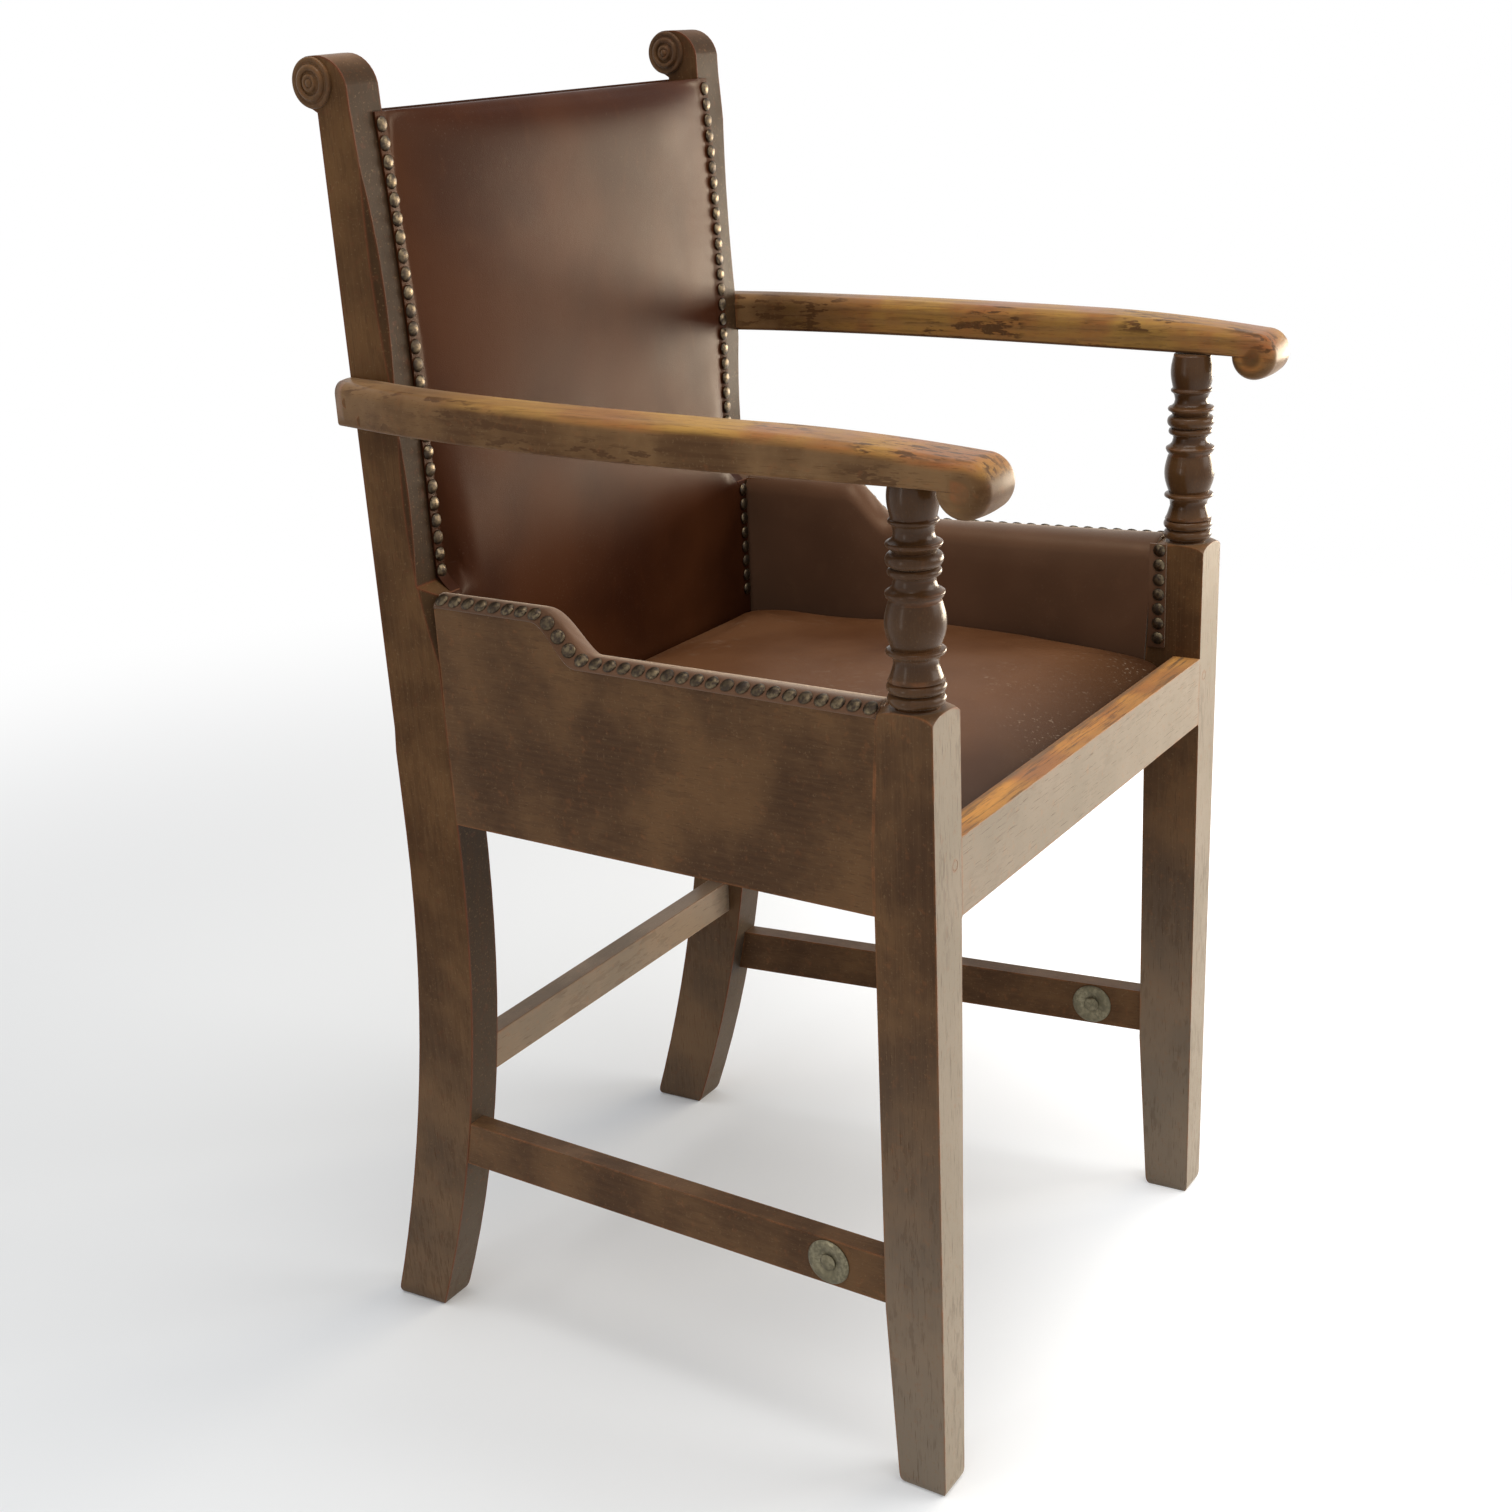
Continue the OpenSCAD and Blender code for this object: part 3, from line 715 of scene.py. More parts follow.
    def group(self, tree: Tree, **inputs: object) -> Node:
        """Places a node group.

        Args:
            tree: the group.
            **inputs: values by input name, with _ for a space.

        Returns:
            The node.
        """
        return self.add("ShaderNodeGroup", {"node_tree": tree}, **inputs)

    def give(self, **values: Socket) -> Tree:
        """Joins values to the outputs of the tree, and returns it."""
        self.add("NodeGroupOutput", **values)
        return self.tree

    def dress(
        self, shader: Node, base: Socket, rough: Socket, height: Socket, bump: Point, **plain: object
    ) -> None:
        """Joins a material's colour, roughness and relief to its shader.

        Args:
            shader: Principled node.
            base: colour.
            rough: roughness.
            height: relief.
            bump: strength of the relief, and its depth in metres.
            **plain: values for the shader's own sockets, with _ for a space.
        """
        relief = self.add("ShaderNodeBump", Strength=bump[0], Distance=bump[1], Height=height)
        for key, value in (("Base Color", base), ("Roughness", rough), ("Normal", relief.outputs[0])):
            self.put(shader.inputs[key], value)
        for key, value in plain.items():
            shader.inputs[key.replace("_", " ")].default_value = value


def new_group(
    name: str, takes: dict[str, float | None], gives: Iterable[str]
) -> tuple[Board, dict[str, Socket]]:
    """Starts a shader node group.

    Args:
        name: name of the group.
        takes: inputs by name, each with the default of a value, or None for a vector.
        gives: names of the outputs, which are all values.

    Returns:
        A board on the group's tree, and its input sockets by name.
    """
    tree = bpy.data.node_groups.new(name, "ShaderNodeTree")
    for key, default in takes.items():
        kind = "NodeSocketVector" if default is None else "NodeSocketFloat"
        socket = tree.interface.new_socket(key, in_out="INPUT", socket_type=kind)
        if default is not None:
            socket.default_value = default
    for key in gives:
        tree.interface.new_socket(key, in_out="OUTPUT", socket_type="NodeSocketFloat")
    board = Board(tree)
    start = board.add("NodeGroupInput")
    return board, {key: start.outputs[key] for key in takes}


def oak_grain() -> Tree:
    """Oak's figure for a vector whose Z runs along the grain.

    Returns:
        A group that gives growth bands, fine fibres, dark open pores and pale ray flecks.
    """
    b, takes = new_group(
        "oak_grain", {"Vector": None, "Band": 60.0}, ("Bands", "Fibres", "Pores", "Flecks", "Streaks")
    )
    v = takes["Vector"]
    slow = b.noise(b.stretch(v, 1, 1, 0.12), 11, 2)
    wander = b.add("ShaderNodeTexNoise", Vector=b.stretch(v, 1, 1, 0.2), Scale=9.0).outputs[1]
    aside = b.moved(v, Location=(0.11, 0.07, 0.0), Scale=(1, 1, 0.05))
    warp = b.vector("MULTIPLY_ADD", wander, (0.03, 0.03, 0.0), aside)
    rings = b.add(
        "ShaderNodeTexWave",
        {"wave_type": "RINGS", "rings_direction": "Z"},
        Vector=warp.outputs[0],
        Scale=takes["Band"],
        Distortion=1.2,
        Detail=1.0,
        Detail_Scale=1.6,
    )
    patches = b.span(b.noise(b.stretch(v, 1, 1, 0.4), 26, 2), 0.46, 0.56)
    dashes = b.span(b.noise(b.stretch(v, 1, 1, 0.25), 210, 3, 0.6), 0.52, 0.58)
    return b.give(
        Bands=b.math("ADD", b.times(rings.outputs[1], 0.6), b.times(slow, 0.4)),
        Fibres=b.noise(b.stretch(v, 1, 1, 0.02), 900, 4, 0.6),
        Pores=b.span(b.noise(b.stretch(v, 1, 1, 0.045), 1300, 2), 0.6, 0.72),
        Flecks=b.times(patches, dashes),
        Streaks=b.span(b.noise(b.stretch(v, 1, 1, 0.06), 300, 4, 0.65), 0.5, 0.64),
    )


def worn_edges() -> Tree:
    """Mask of the edges that hands, feet and cloths have rubbed, broken up unevenly.

    Returns:
        A group that gives the mask.
    """
    b, takes = new_group("worn_edges", {"Vector": None, "Reach": 0.003, "Amount": 0.5}, ("Mask",))
    round_off = b.add("ShaderNodeBevel", {"samples": 6}, Radius=takes["Reach"])
    flat = b.add("ShaderNodeNewGeometry")
    turn = b.vector("DOT_PRODUCT", round_off.outputs[0], flat.outputs["True Normal"])
    edge = b.span(b.math("SUBTRACT", 1.0, turn.outputs["Value"]), 0.004, 0.06)
    broken = b.noise(takes["Vector"], 75, 4, 0.65)
    limit = b.math("MULTIPLY_ADD", broken, -1.3, b.math("ADD", takes["Amount"], 0.4))
    return b.give(Mask=b.times(edge, b.times(limit, 2.6, clamp=True), clamp=True))


def old_surface() -> Tree:
    """Years of handling: broad blotches, small spots and fine scuffs.

    Returns:
        A group that gives blotches, spots, specks and scuffs.
    """
    b, takes = new_group("old_surface", {"Vector": None}, ("Blotches", "Spots", "Specks", "Scuffs"))
    v = takes["Vector"]
    drawn_out = {"vector_type": "TEXTURE"}
    turned = b.moved(v, drawn_out, Rotation=(1.5, 0.0, 0.7), Scale=(1, 1, 14))
    other = b.moved(v, drawn_out, Rotation=(1.45, 0.1, -0.5), Scale=(1, 1, 9))
    first = b.span(b.noise(turned, 620, 1), 0.695, 0.73)
    second = b.span(b.noise(other, 540, 1), 0.7, 0.735)
    sparse = b.span(b.noise(v, 9, 2), 0.4, 0.7)
    return b.give(
        Blotches=b.noise(v, 13, 4, 0.55),
        Spots=b.span(b.noise(v, 150, 3, 0.6), 0.56, 0.74),
        Specks=b.span(b.noise(v, 480, 2, 0.6), 0.62, 0.7),
        Scuffs=b.times(b.math("MAXIMUM", first, second), sparse),
    )


def hide_grain() -> Tree:
    """Leather's fine pebbles and soft creases.

    Returns:
        A group that gives the relief's height, a broad tone and the creases.
    """
    b, takes = new_group("hide_grain", {"Vector": None}, ("Height", "Tone", "Creases"))
    v = takes["Vector"]
    wander = b.add("ShaderNodeTexNoise", Vector=v, Scale=300.0).outputs[1]
    warp = b.vector("MULTIPLY_ADD", wander, (0.002, 0.002, 0.002), v).outputs[0]
    cells = b.add("ShaderNodeTexVoronoi", {"feature": "DISTANCE_TO_EDGE"}, Vector=warp, Scale=820.0)
    pebbles = b.span(cells.outputs[0], 0.0, 0.22)
    creases = b.noise(b.stretch(v, 1, 0.5, 0.5), 95, 4, 0.6)
    return b.give(
        Height=b.math("MULTIPLY_ADD", creases, 1.4, pebbles),
        Tone=b.noise(v, 7, 3),
        Creases=b.span(creases, 0.52, 0.75),
    )


@dataclass(frozen=True)
class Groups:
    """The shared node groups, built once."""

    grain: Tree
    edges: Tree
    surface: Tree
    hide: Tree

    @classmethod
    def build(cls) -> "Groups":
        """Makes all the groups."""
        return cls(oak_grain(), worn_edges(), old_surface(), hide_grain())


def start_material(name: str) -> tuple[Material, Board, Node, Socket]:
    """Starts a material.

    Args:
        name: name of the material.

    Returns:
        The material, a board on its tree, its Principled node and the object coordinates.
    """
    mat = bpy.data.materials.new(name)
    mat.use_nodes = True
    board = Board(mat.node_tree)
    shader = mat.node_tree.nodes["Principled BSDF"]
    place = board.add("ShaderNodeTexCoord").outputs["Object"]
    return mat, board, shader, place


@dataclass(frozen=True)
class OakFinish:
    """Dark stained and waxed oak, worn to red and gold where it is handled."""

    name: str
    grain: Grain
    dark: Colour = (0.055, 0.024, 0.009)
    middle: Colour = (0.138, 0.068, 0.026)
    pale: Colour = (0.2, 0.122, 0.06)
    worn: Colour = (0.27, 0.098, 0.034)
    gold: Colour = (0.4, 0.225, 0.072)
    wear: float = 0.42
    reach: float = 0.0028
    top_wear: float = 0.0
    top_from: float = 0.0
    top_fade: float = 0.1
    flecks: float = 0.25
    streaks: float = 0.35
    band: float = 55.0
    gloss: float = 0.42
    shine: float = 0.12
    haze: float = 0.6
    # Colour of the faces that look forward (-Y): painted light where it is paler, painted shade where it is
    # darker, as on the posts.
    front: Colour = (0.355, 0.31, 0.24)
    painted_front_share: float = 0.0
    # Share and colour of painted light bounced up from the floor, paler towards the feet.
    floor_light: float = 0.0
    floor_light_colour: Colour = (0.3, 0.25, 0.19)
    # Dark colour of the turnings: their real polish, deepened to painted shade in their hollows.
    polished_and_hollow_shade: Colour = (0.06, 0.026, 0.009)
    coat: float = 0.17

    def material(self, groups: Groups) -> Material:
        """Builds the finish.

        Args:
            groups: shared node groups.

        Returns:
            The material.
        """
        mat, b, shader, place = start_material(self.name)
        turned = b.moved(place, Rotation=self.grain.value)
        grain = b.group(groups.grain, Vector=turned, Band=self.band).outputs
        old = b.group(groups.surface, Vector=place).outputs
        edge = b.group(groups.edges, Vector=place, Reach=self.reach, Amount=self.wear).outputs[0]
        # Polish of the turnings, rising to full in their hollows, where it stands for painted shade.
        polish = b.add("ShaderNodeAttribute", {"attribute_name": "polish"}).outputs["Fac"]
        turning = b.math("GREATER_THAN", polish, 0.01)
        base = b.blend(b.span(old["Blotches"], 0.34, 0.68), rgba(self.dark), rgba(self.middle))
        base = b.over(base, grain["Bands"], 0.2, self.middle)
        base = b.over(base, b.span(grain["Fibres"], 0.45, 0.75), 0.16, self.pale)
        # Forward faces (-Y) take the front colour: painted light on the legs and rails, painted shade on
        # the posts; turnings are left out.
        if self.painted_front_share > 0:
            ahead = b.span(b.times(b.normal()["Y"], -1.0), 0.3, 0.9, 0.0, self.painted_front_share)
            base = b.blend(b.times(ahead, b.math("SUBTRACT", 1.0, turning)), base, rgba(self.front))
        # Paler towards the floor: painted light bounced up from the floor.
        if self.floor_light > 0:
            low = b.span(b.split(place)["Z"], 0.42, 0.0, 0.0, self.floor_light)
            base = b.blend(low, base, rgba(self.floor_light_colour))
        if self.top_wear > 0:
            rubbed = self.rubbed_top(b, place, old["Blotches"])
            base = b.blend(rubbed, base, self.golden(b, grain, old["Blotches"]))
        for mask, share, colour in (
            (grain["Pores"], 0.5, self.dark),
            (grain["Flecks"], self.flecks, self.dark),
            (old["Spots"], 0.2, self.worn),
            (old["Specks"], 0.35, self.pale),
            # Darker turnings: real polish, with painted shade in the hollows.
            (polish, 0.9, self.polished_and_hollow_shade),
            (edge, b.math("MULTIPLY_ADD", polish, -0.6, 0.8), self.worn),
            (old["Scuffs"], 0.22, self.pale),
        ):
            base = b.over(base, mask, share, colour)
        b.put(shader.inputs["Coat Weight"], b.times(polish, self.coat))
        rough = b.span(old["Blotches"], 0.3, 0.7, self.gloss + 0.1, self.gloss - 0.07)
        rough = b.math("ADD", rough, b.times(grain["Pores"], 0.15))
        rough = b.math("MULTIPLY_ADD", turning, -0.2, rough)
        height = b.math("SUBTRACT", b.times(grain["Fibres"], 0.25), grain["Pores"])
        height = b.math("MULTIPLY_ADD", old["Blotches"], 1.5, height)
        plain = {"Coat_Roughness": 0.18, "Specular_IOR_Level": self.shine, "Sheen_Weight": self.haze}
        plain |= {"Sheen_Roughness": 0.4, "Sheen_Tint": (1.0, 0.9, 0.75, 1.0)}
        b.dress(shader, base, rough, height, (0.14, 0.0005), **plain)
        return mat

    def rubbed_top(self, b: Board, place: Socket, blotches: Socket) -> Socket:
        """Mask of the faces in front of top_from that look up or to the sitter, rubbed bare.

        Args:
            b: board of the material.
            place: object coordinates.
            blotches: uneven wear.

        Returns:
            The mask.
        """
        normal = b.normal()
        spot = b.split(place)
        inward = b.times(b.math("SIGN", spot["X"]), b.times(normal["X"], -0.7))
        up = b.math("ADD", normal["Z"], b.math("MAXIMUM", inward, 0.0))
        facing = b.span(b.math("MULTIPLY_ADD", blotches, 0.8, up), 0.6, 1.15)
        broken = b.math("MULTIPLY_ADD", blotches, self.top_fade * 1.6, spot["Y"])
        along = b.span(broken, self.top_from + self.top_fade, self.top_from)
        return b.times(b.times(facing, along), self.top_wear, clamp=True)

    def golden(self, b: Board, grain: dict, blotches: Socket) -> Socket:
        """Colour of bare oak with its bands and flecks."""
        light = b.blend(b.span(blotches, 0.35, 0.65), rgba(self.gold), rgba(self.worn))
        light = b.over(light, b.span(grain["Bands"], 0.35, 0.75), 0.35, self.middle)
        return b.over(light, grain["Streaks"], self.streaks, self.dark)


@dataclass(frozen=True)
class BareWoodFinish:
    """Plain sawn hardwood of the hidden seat frame and bearers."""

    name: str = "bare_hardwood"
    grain: Grain = Grain.CROSSWISE
    pale: Colour = (0.34, 0.225, 0.125)
    deep: Colour = (0.2, 0.12, 0.062)

    def material(self, groups: Groups) -> Material:
        """Builds the finish.

        Args:
            groups: shared node groups.

        Returns:
            The material.
        """
        mat, b, shader, place = start_material(self.name)
        turned = b.moved(place, Rotation=self.grain.value)
        grain = b.group(groups.grain, Vector=turned, Band=80.0).outputs
        old = b.group(groups.surface, Vector=place).outputs
        base = b.blend(grain["Bands"], rgba(self.deep), rgba(self.pale))
        base = b.over(base, grain["Pores"], 0.5, self.deep)
        base = b.over(base, old["Blotches"], 0.35, self.deep)
        rough = b.span(grain["Fibres"], 0.3, 0.7, 0.62, 0.8)
        b.dress(shader, base, rough, grain["Fibres"], (0.5, 0.0004))
        return mat


@dataclass(frozen=True)
class LeatherFinish:
    """Smooth reddish-brown hide with a soft sheen."""

    name: str = "brown_hide"
    deep: Colour = (0.03, 0.0085, 0.0035)
    warm: Colour = (0.056, 0.0175, 0.0062)
    pale: Colour = (0.42, 0.34, 0.26)
    scuffs: float = 0.05
    gloss: float = 0.38
    shine: float = 0.05
    haze: float = 0.0
    # Painted shade along the seat's front edge: its share, the depth where it starts, and its colour.
    edge_shade: float = 0.0
    edge_shade_y: float = -0.215
    edge_shade_colour: Colour = (0.022, 0.01, 0.005)

    def material(self, groups: Groups) -> Material:
        """Builds the finish.

        Args:
            groups: shared node groups.

        Returns:
            The material.
        """
        mat, b, shader, place = start_material(self.name)
        hide = b.group(groups.hide, Vector=place).outputs
        old = b.group(groups.surface, Vector=place).outputs
        base = b.blend(b.span(hide["Tone"], 0.35, 0.65), rgba(self.deep), rgba(self.warm))
        base = b.over(base, hide["Creases"], 0.3, self.warm)
        # Painted shade: darker towards the seat's front edge, where it rolls down to the rail.
        if self.edge_shade > 0:
            near = b.span(b.split(place)["Y"], self.edge_shade_y + 0.075, self.edge_shade_y, 0.0, self.edge_shade)
            base = b.blend(near, base, rgba(self.edge_shade_colour))
        base = b.over(base, old["Scuffs"], self.scuffs, self.pale)
        rough = b.span(old["Blotches"], 0.3, 0.7, self.gloss - 0.02, self.gloss + 0.04)
        rough = b.math("MULTIPLY_ADD", old["Scuffs"], 0.2, rough)
        plain = {"Specular_IOR_Level": self.shine, "Specular_Tint": (1.0, 0.82, 0.6, 1.0)}
        plain |= {"Sheen_Weight": self.haze, "Sheen_Roughness": 0.4, "Sheen_Tint": (1.0, 0.85, 0.68, 1.0)}
        b.dress(shader, base, rough, hide["Height"], (0.12, 0.0003), **plain)
        return mat


@dataclass(frozen=True)
class BrassFinish:
    """Old brass, dull and dark where it isn't rubbed."""

    name: str
    bright: Colour = (0.13, 0.1, 0.062)
    tarnish: Colour = (0.04, 0.028, 0.02)
    gloss: float = 0.33

    def material(self, groups: Groups) -> Material:
        """Builds the finish.

        Args:
            groups: shared node groups; not used.

        Returns:
            The material.
        """
        mat, b, shader, place = start_material(self.name)
        fine = b.noise(place, 330, 4, 0.6)
        broad = b.noise(place, 60, 2)
        base = b.blend(b.span(fine, 0.38, 0.62), rgba(self.tarnish), rgba(self.bright))
        base = b.over(base, b.span(broad, 0.45, 0.7), 0.6, self.tarnish)
        b.put(shader.inputs["Metallic"], b.span(fine, 0.3, 0.55, 0.75, 1.0))
        b.dress(shader, base, b.span(broad, 0.3, 0.7, self.gloss, self.gloss + 0.2), fine, (0.3, 0.0002))
        return mat


@dataclass(frozen=True)
class WebbingFinish:
    """Plain woven jute."""

    name: str = "jute_webbing"
    thread: Colour = (0.46, 0.35, 0.2)
    shadow: Colour = (0.16, 0.11, 0.06)

    def material(self, groups: Groups) -> Material:
        """Builds the finish.

        Args:
            groups: shared node groups.

        Returns:
            The material.
        """
        mat, b, shader, place = start_material(self.name)
        threads = {"Vector": place, "Scale": 120.0, "Distortion": 0.6}
        warp, weft = (b.add("ShaderNodeTexWave", {"bands_direction": axis}, **threads) for axis in "XY")
        weave = b.times(warp.outputs[1], weft.outputs[1])
        base = b.blend(weave, rgba(self.shadow), rgba(self.thread))
        base = b.over(base, b.group(groups.surface, Vector=place).outputs["Blotches"], 0.3, self.shadow)
        b.dress(shader, base, b.span(weave, 0.0, 1.0, 0.95, 0.8), weave, (0.6, 0.0008))
        return mat


@dataclass(frozen=True)
class Finishes:
    """Every material of the chair."""

    upright: Material
    lengthwise: Material
    crosswise: Material
    front_rail: Material
    arm: Material
    turned: Material
    post: Material
    bare: Material
    bare_side: Material
    hide: Material
    side_hide: Material
    seat_hide: Material
    nail: Material
    disc: Material
    webbing: Material

    @classmethod
    def build(cls) -> "Finishes":
        """Builds the node groups and all the materials.

        Returns:
            All the finishes.
        """
        looks = dict(
            # Painted light on the forward faces, and painted light from the floor towards the feet.
            upright=OakFinish("oak_upright", Grain.UPRIGHT, haze=0.15, painted_front_share=0.6, floor_light=0.6),
            lengthwise=OakFinish("oak_lengthwise", Grain.DEPTHWISE, haze=0.12),
            # Painted light on the forward faces.
            crosswise=OakFinish("oak_crosswise", Grain.CROSSWISE, painted_front_share=0.35),
            front_rail=OakFinish(
                "oak_front_rail",
                Grain.CROSSWISE,
                top_wear=1.0,
                top_from=-0.218,
                top_fade=0.008,
                gold=(0.56, 0.25, 0.04),
                worn=(0.36, 0.12, 0.02),
                flecks=0.12,
                streaks=0.75,
                haze=0.3,
                # painted light on the rail's forward face
                painted_front_share=0.52,
            ),
            arm=OakFinish(
                "oak_arm",
                Grain.DEPTHWISE,
                dark=(0.08, 0.036, 0.013),
                middle=(0.21, 0.115, 0.048),
                gold=(0.37, 0.205, 0.05),
                top_wear=1.0,
                top_from=0.12,
                flecks=0.9,
                band=42,
                gloss=0.36,
                shine=0.09,
                haze=0.1,
            ),
            turned=OakFinish("oak_turned", Grain.UPRIGHT, wear=0.2, gloss=0.3, haze=0.2),
            post=OakFinish(
                "oak_post",
                Grain.UPRIGHT,
                worn=(0.15, 0.045, 0.02),
                wear=0.65,
                shine=0.07,
                haze=0.0,
                # painted shade on the posts' forward faces, and painted light from the floor towards the
                # feet
                front=(0.028, 0.016, 0.008),
                painted_front_share=0.9,
                floor_light=0.2,
            ),
            bare=BareWoodFinish(),
            bare_side=BareWoodFinish("bare_hardwood_side", Grain.DEPTHWISE),
            hide=LeatherFinish(),
            # Lighter copy of the back's brown hide: painted light on the side pads.
            side_hide=LeatherFinish(
                "side_hide", (0.09, 0.042, 0.022), (0.13, 0.062, 0.034), shine=0.2, haze=0.7
            ),
            # Lighter copy of the back's brown hide: painted light on the up-facing seat.
            seat_hide=LeatherFinish(
                "seat_hide",
                (0.075, 0.028, 0.01),
                (0.125, 0.055, 0.024),
                scuffs=0.42,
                gloss=0.4,
                shine=0.16,
                # painted shade along the front edge
                edge_shade=0.7,
            ),
            nail=BrassFinish("nail_brass"),
            disc=BrassFinish("disc_brass", (0.22, 0.195, 0.13), (0.13, 0.115, 0.075), 0.4),
            webbing=WebbingFinish(),
        )
        groups = Groups.build()
        return cls(**{key: look.material(groups) for key, look in looks.items()})


class Slot(Enum):
    """Kinds of material that the pieces are sorted by."""

    OAK = "dark_oak"
    INNER = "inner_wood"
    LEATHER = "brown_leather"
    BRASS = "aged_brass"


def finish_piece(obj: Object, material: Material, slot: Slot, node: str, body: str = "root") -> None:
    """Dresses a piece, sets it on its body and lets it stand for its CAD node.

    Args:
        obj: the finished piece.
        material: its only material.
        slot: kind of material; oak pieces get face-weighted normals.
        node: CAD node that it replaces.
        body: CAD body that it rides on.
    """
    if slot is Slot.OAK:
        obj.modifiers.new("flat_faces", "WEIGHTED_NORMAL").keep_sharp = True
        evaluated(obj)
    obj.data.materials.clear()
    obj.data.materials.append(material)
    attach(obj, body)
    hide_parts(node)
    log.info("%s: %d faces", obj.name, len(obj.data.polygons))


# Timber


@dataclass
class Timber:
    """Sawn and planed members, with the rounding that use has given their edges."""

    finishes: Finishes
    leg_edge: float = 2.2
    panel_edge: float = 0.8
    rail_edge: float = 1.1
    bare_edge: float = 0.8
    peg_edge: float = 0.4

    def member(
        self, node: str, material: Material, edge: float, slot: Slot = Slot.OAK, body: str = "root"
    ) -> None:
        """Makes one member from its CAD node.

        Args:
            node: CAD node.
            material: its finish.
            edge: rounding of its edges in millimetres.
            slot: slot of the record.
            body: CAD body that it rides on.
        """
        bm = merged(node)
        softened(bm, edge)
        if node.startswith("rear_post"):
            worn_foot(bm)
        finish_piece(from_bmesh(f"{node}_timber", bm), material, slot, node, body)

    def build(self) -> None:
        """Makes every plain member."""
        f = self.finishes
        for side in Side:
            s = side.value
            self.member(f"rear_post_{s}", f.post, self.leg_edge)
            self.member(f"side_panel_{s}", f.lengthwise, self.panel_edge)
            self.member(f"side_stretcher_{s}", f.lengthwise, self.rail_edge)
            self.member(f"peg_{s}", f.upright, self.peg_edge)
            self.member(f"arm_screws_{s}", f.lengthwise, self.peg_edge)
            self.member(f"bearer_{s}", f.bare_side, self.bare_edge, Slot.INNER)
            self.member(f"seat_frame_{s}", f.bare_side, self.bare_edge, Slot.INNER, "seat")
        self.member("front_rail", f.front_rail, self.rail_edge)
        for node in ("rear_seat_rail", "back_top_rail", "back_lower_rail", "rear_stretcher"):
            self.member(node, f.crosswise, self.rail_edge)
        for kind, body in (("bearer", "root"), ("seat_frame", "seat")):
            for end in ("front", "rear"):
                self.member(f"{kind}_{end}", f.bare, self.bare_edge, Slot.INNER, body)


@dataclass
class FrontLegs:
    """Square legs that rise into turned supports under the arms."""

    layout: Layout
    finishes: Finishes
    block_z: float = 573
    turned_h: float = 142
    edge: float = 2.2
    segments: int = 96
    # Inside the bead radius the turning darkens towards full: painted shade in its hollows; bead_polish is
    # its polish at that radius.
    bead_r: float = 16.8
    bead_polish: float = 0.62

    def bead(self, z0: float, z1: float, r: float, n: int = 10) -> list[Point]:
        """Half-round bead between two heights."""
        h = (z1 - z0) / 2
        return arc(r - h, (z0 + z1) / 2, h, -90, 90, n)

    def swell(self, z0: float, z1: float, r0: float, r: float, r1: float, n: int = 20) -> list[Point]:
        """Barrel from radius r0 to r1 that swells to r in the middle."""
        steps = [i / n for i in range(n + 1)]
        more = r - (r0 + r1) / 2
        return [(mix(r0, r1, t) + more * math.sin(math.pi * t), mix(z0, z1, t)) for t in steps]

    def profile(self) -> list[Point]:
        """Radius over height of the turning, from inside the block to inside the arm.

        Returns:
            Points (radius, height) in millimetres.
        """
        return (
            [(0, -8), (13.7, -8), (13.7, 1)]
            + self.bead(1.8, 9.6, 18.4)
            + self.bead(10, 17, 18.7)
            + [(17.8, 17.4), (16.2, 20.6), (15, 24.5), (14.1, 27.6), (14.2, 30), (14.8, 32)]
            + self.bead(34, 37.4, 18.7, 6)
            + self.swell(38, 66, 15.3, 19, 16.6)
            + [(15.8, 67.4), (17.6, 69.2), (18.4, 71.2), (18.2, 72.4)]
            + [(15.6, 74), (13.8, 76), (12.9, 79.6), (13.6, 81.6)]
            + self.bead(82, 87, 16.6)
            + self.bead(87.4, 96.6, 17.8)
            + self.bead(99.6, 103, 17.5, 6)
            + [(14.2, 104), (12.9, 105.5), (12.3, 108.4), (13, 111.5)]
            + self.bead(113.6, 116.6, 15.6, 6)
            + self.swell(117.2, self.turned_h, 14.1, 16, 13.8)
            + [(0, self.turned_h)]
        )

    def build(self, side: Side) -> None:
        """Makes one leg with its turning.

        Args:
            side: side of the chair.
        """
        lay = self.layout
        node = f"front_leg_{side.value}"
        bm = merged(node)
        bmesh.ops.contextual_create(bm, geom=sliced(bm, (self.block_z - 0.2) / 1000, True))
        softened(bm, self.edge)
        worn_foot(bm)
        scale = (lay.arm_z + 0.6 - self.block_z) / self.turned_h
        profile = [(r * scale, self.block_z + z * scale) for r, z in self.profile()]
        axis = lay.at(side.sign * (lay.front_w - lay.leg_w) / 2, lay.block_d / 2, 0)
        lathe(bm, profile, self.segments, Matrix.Translation(axis))
        leg = from_bmesh(f"leg_{side.value}", bm, 34)
        # Polish of the turning, rising towards 1 in its hollows inside the bead radius: real polish with
        # painted shade in the hollows.
        polish = leg.data.attributes.new("polish", "FLOAT", "POINT")
        for vertex, value in zip(leg.data.vertices, polish.data):
            offset = (vertex.co - axis) * 1000
            if offset.z > self.block_z:
                inside = clip((self.bead_r - math.hypot(offset.x, offset.y)) / 3)
                value.value = mix(self.bead_polish, 1.0, inside)
        finish_piece(leg, self.finishes.upright, Slot.OAK, node)


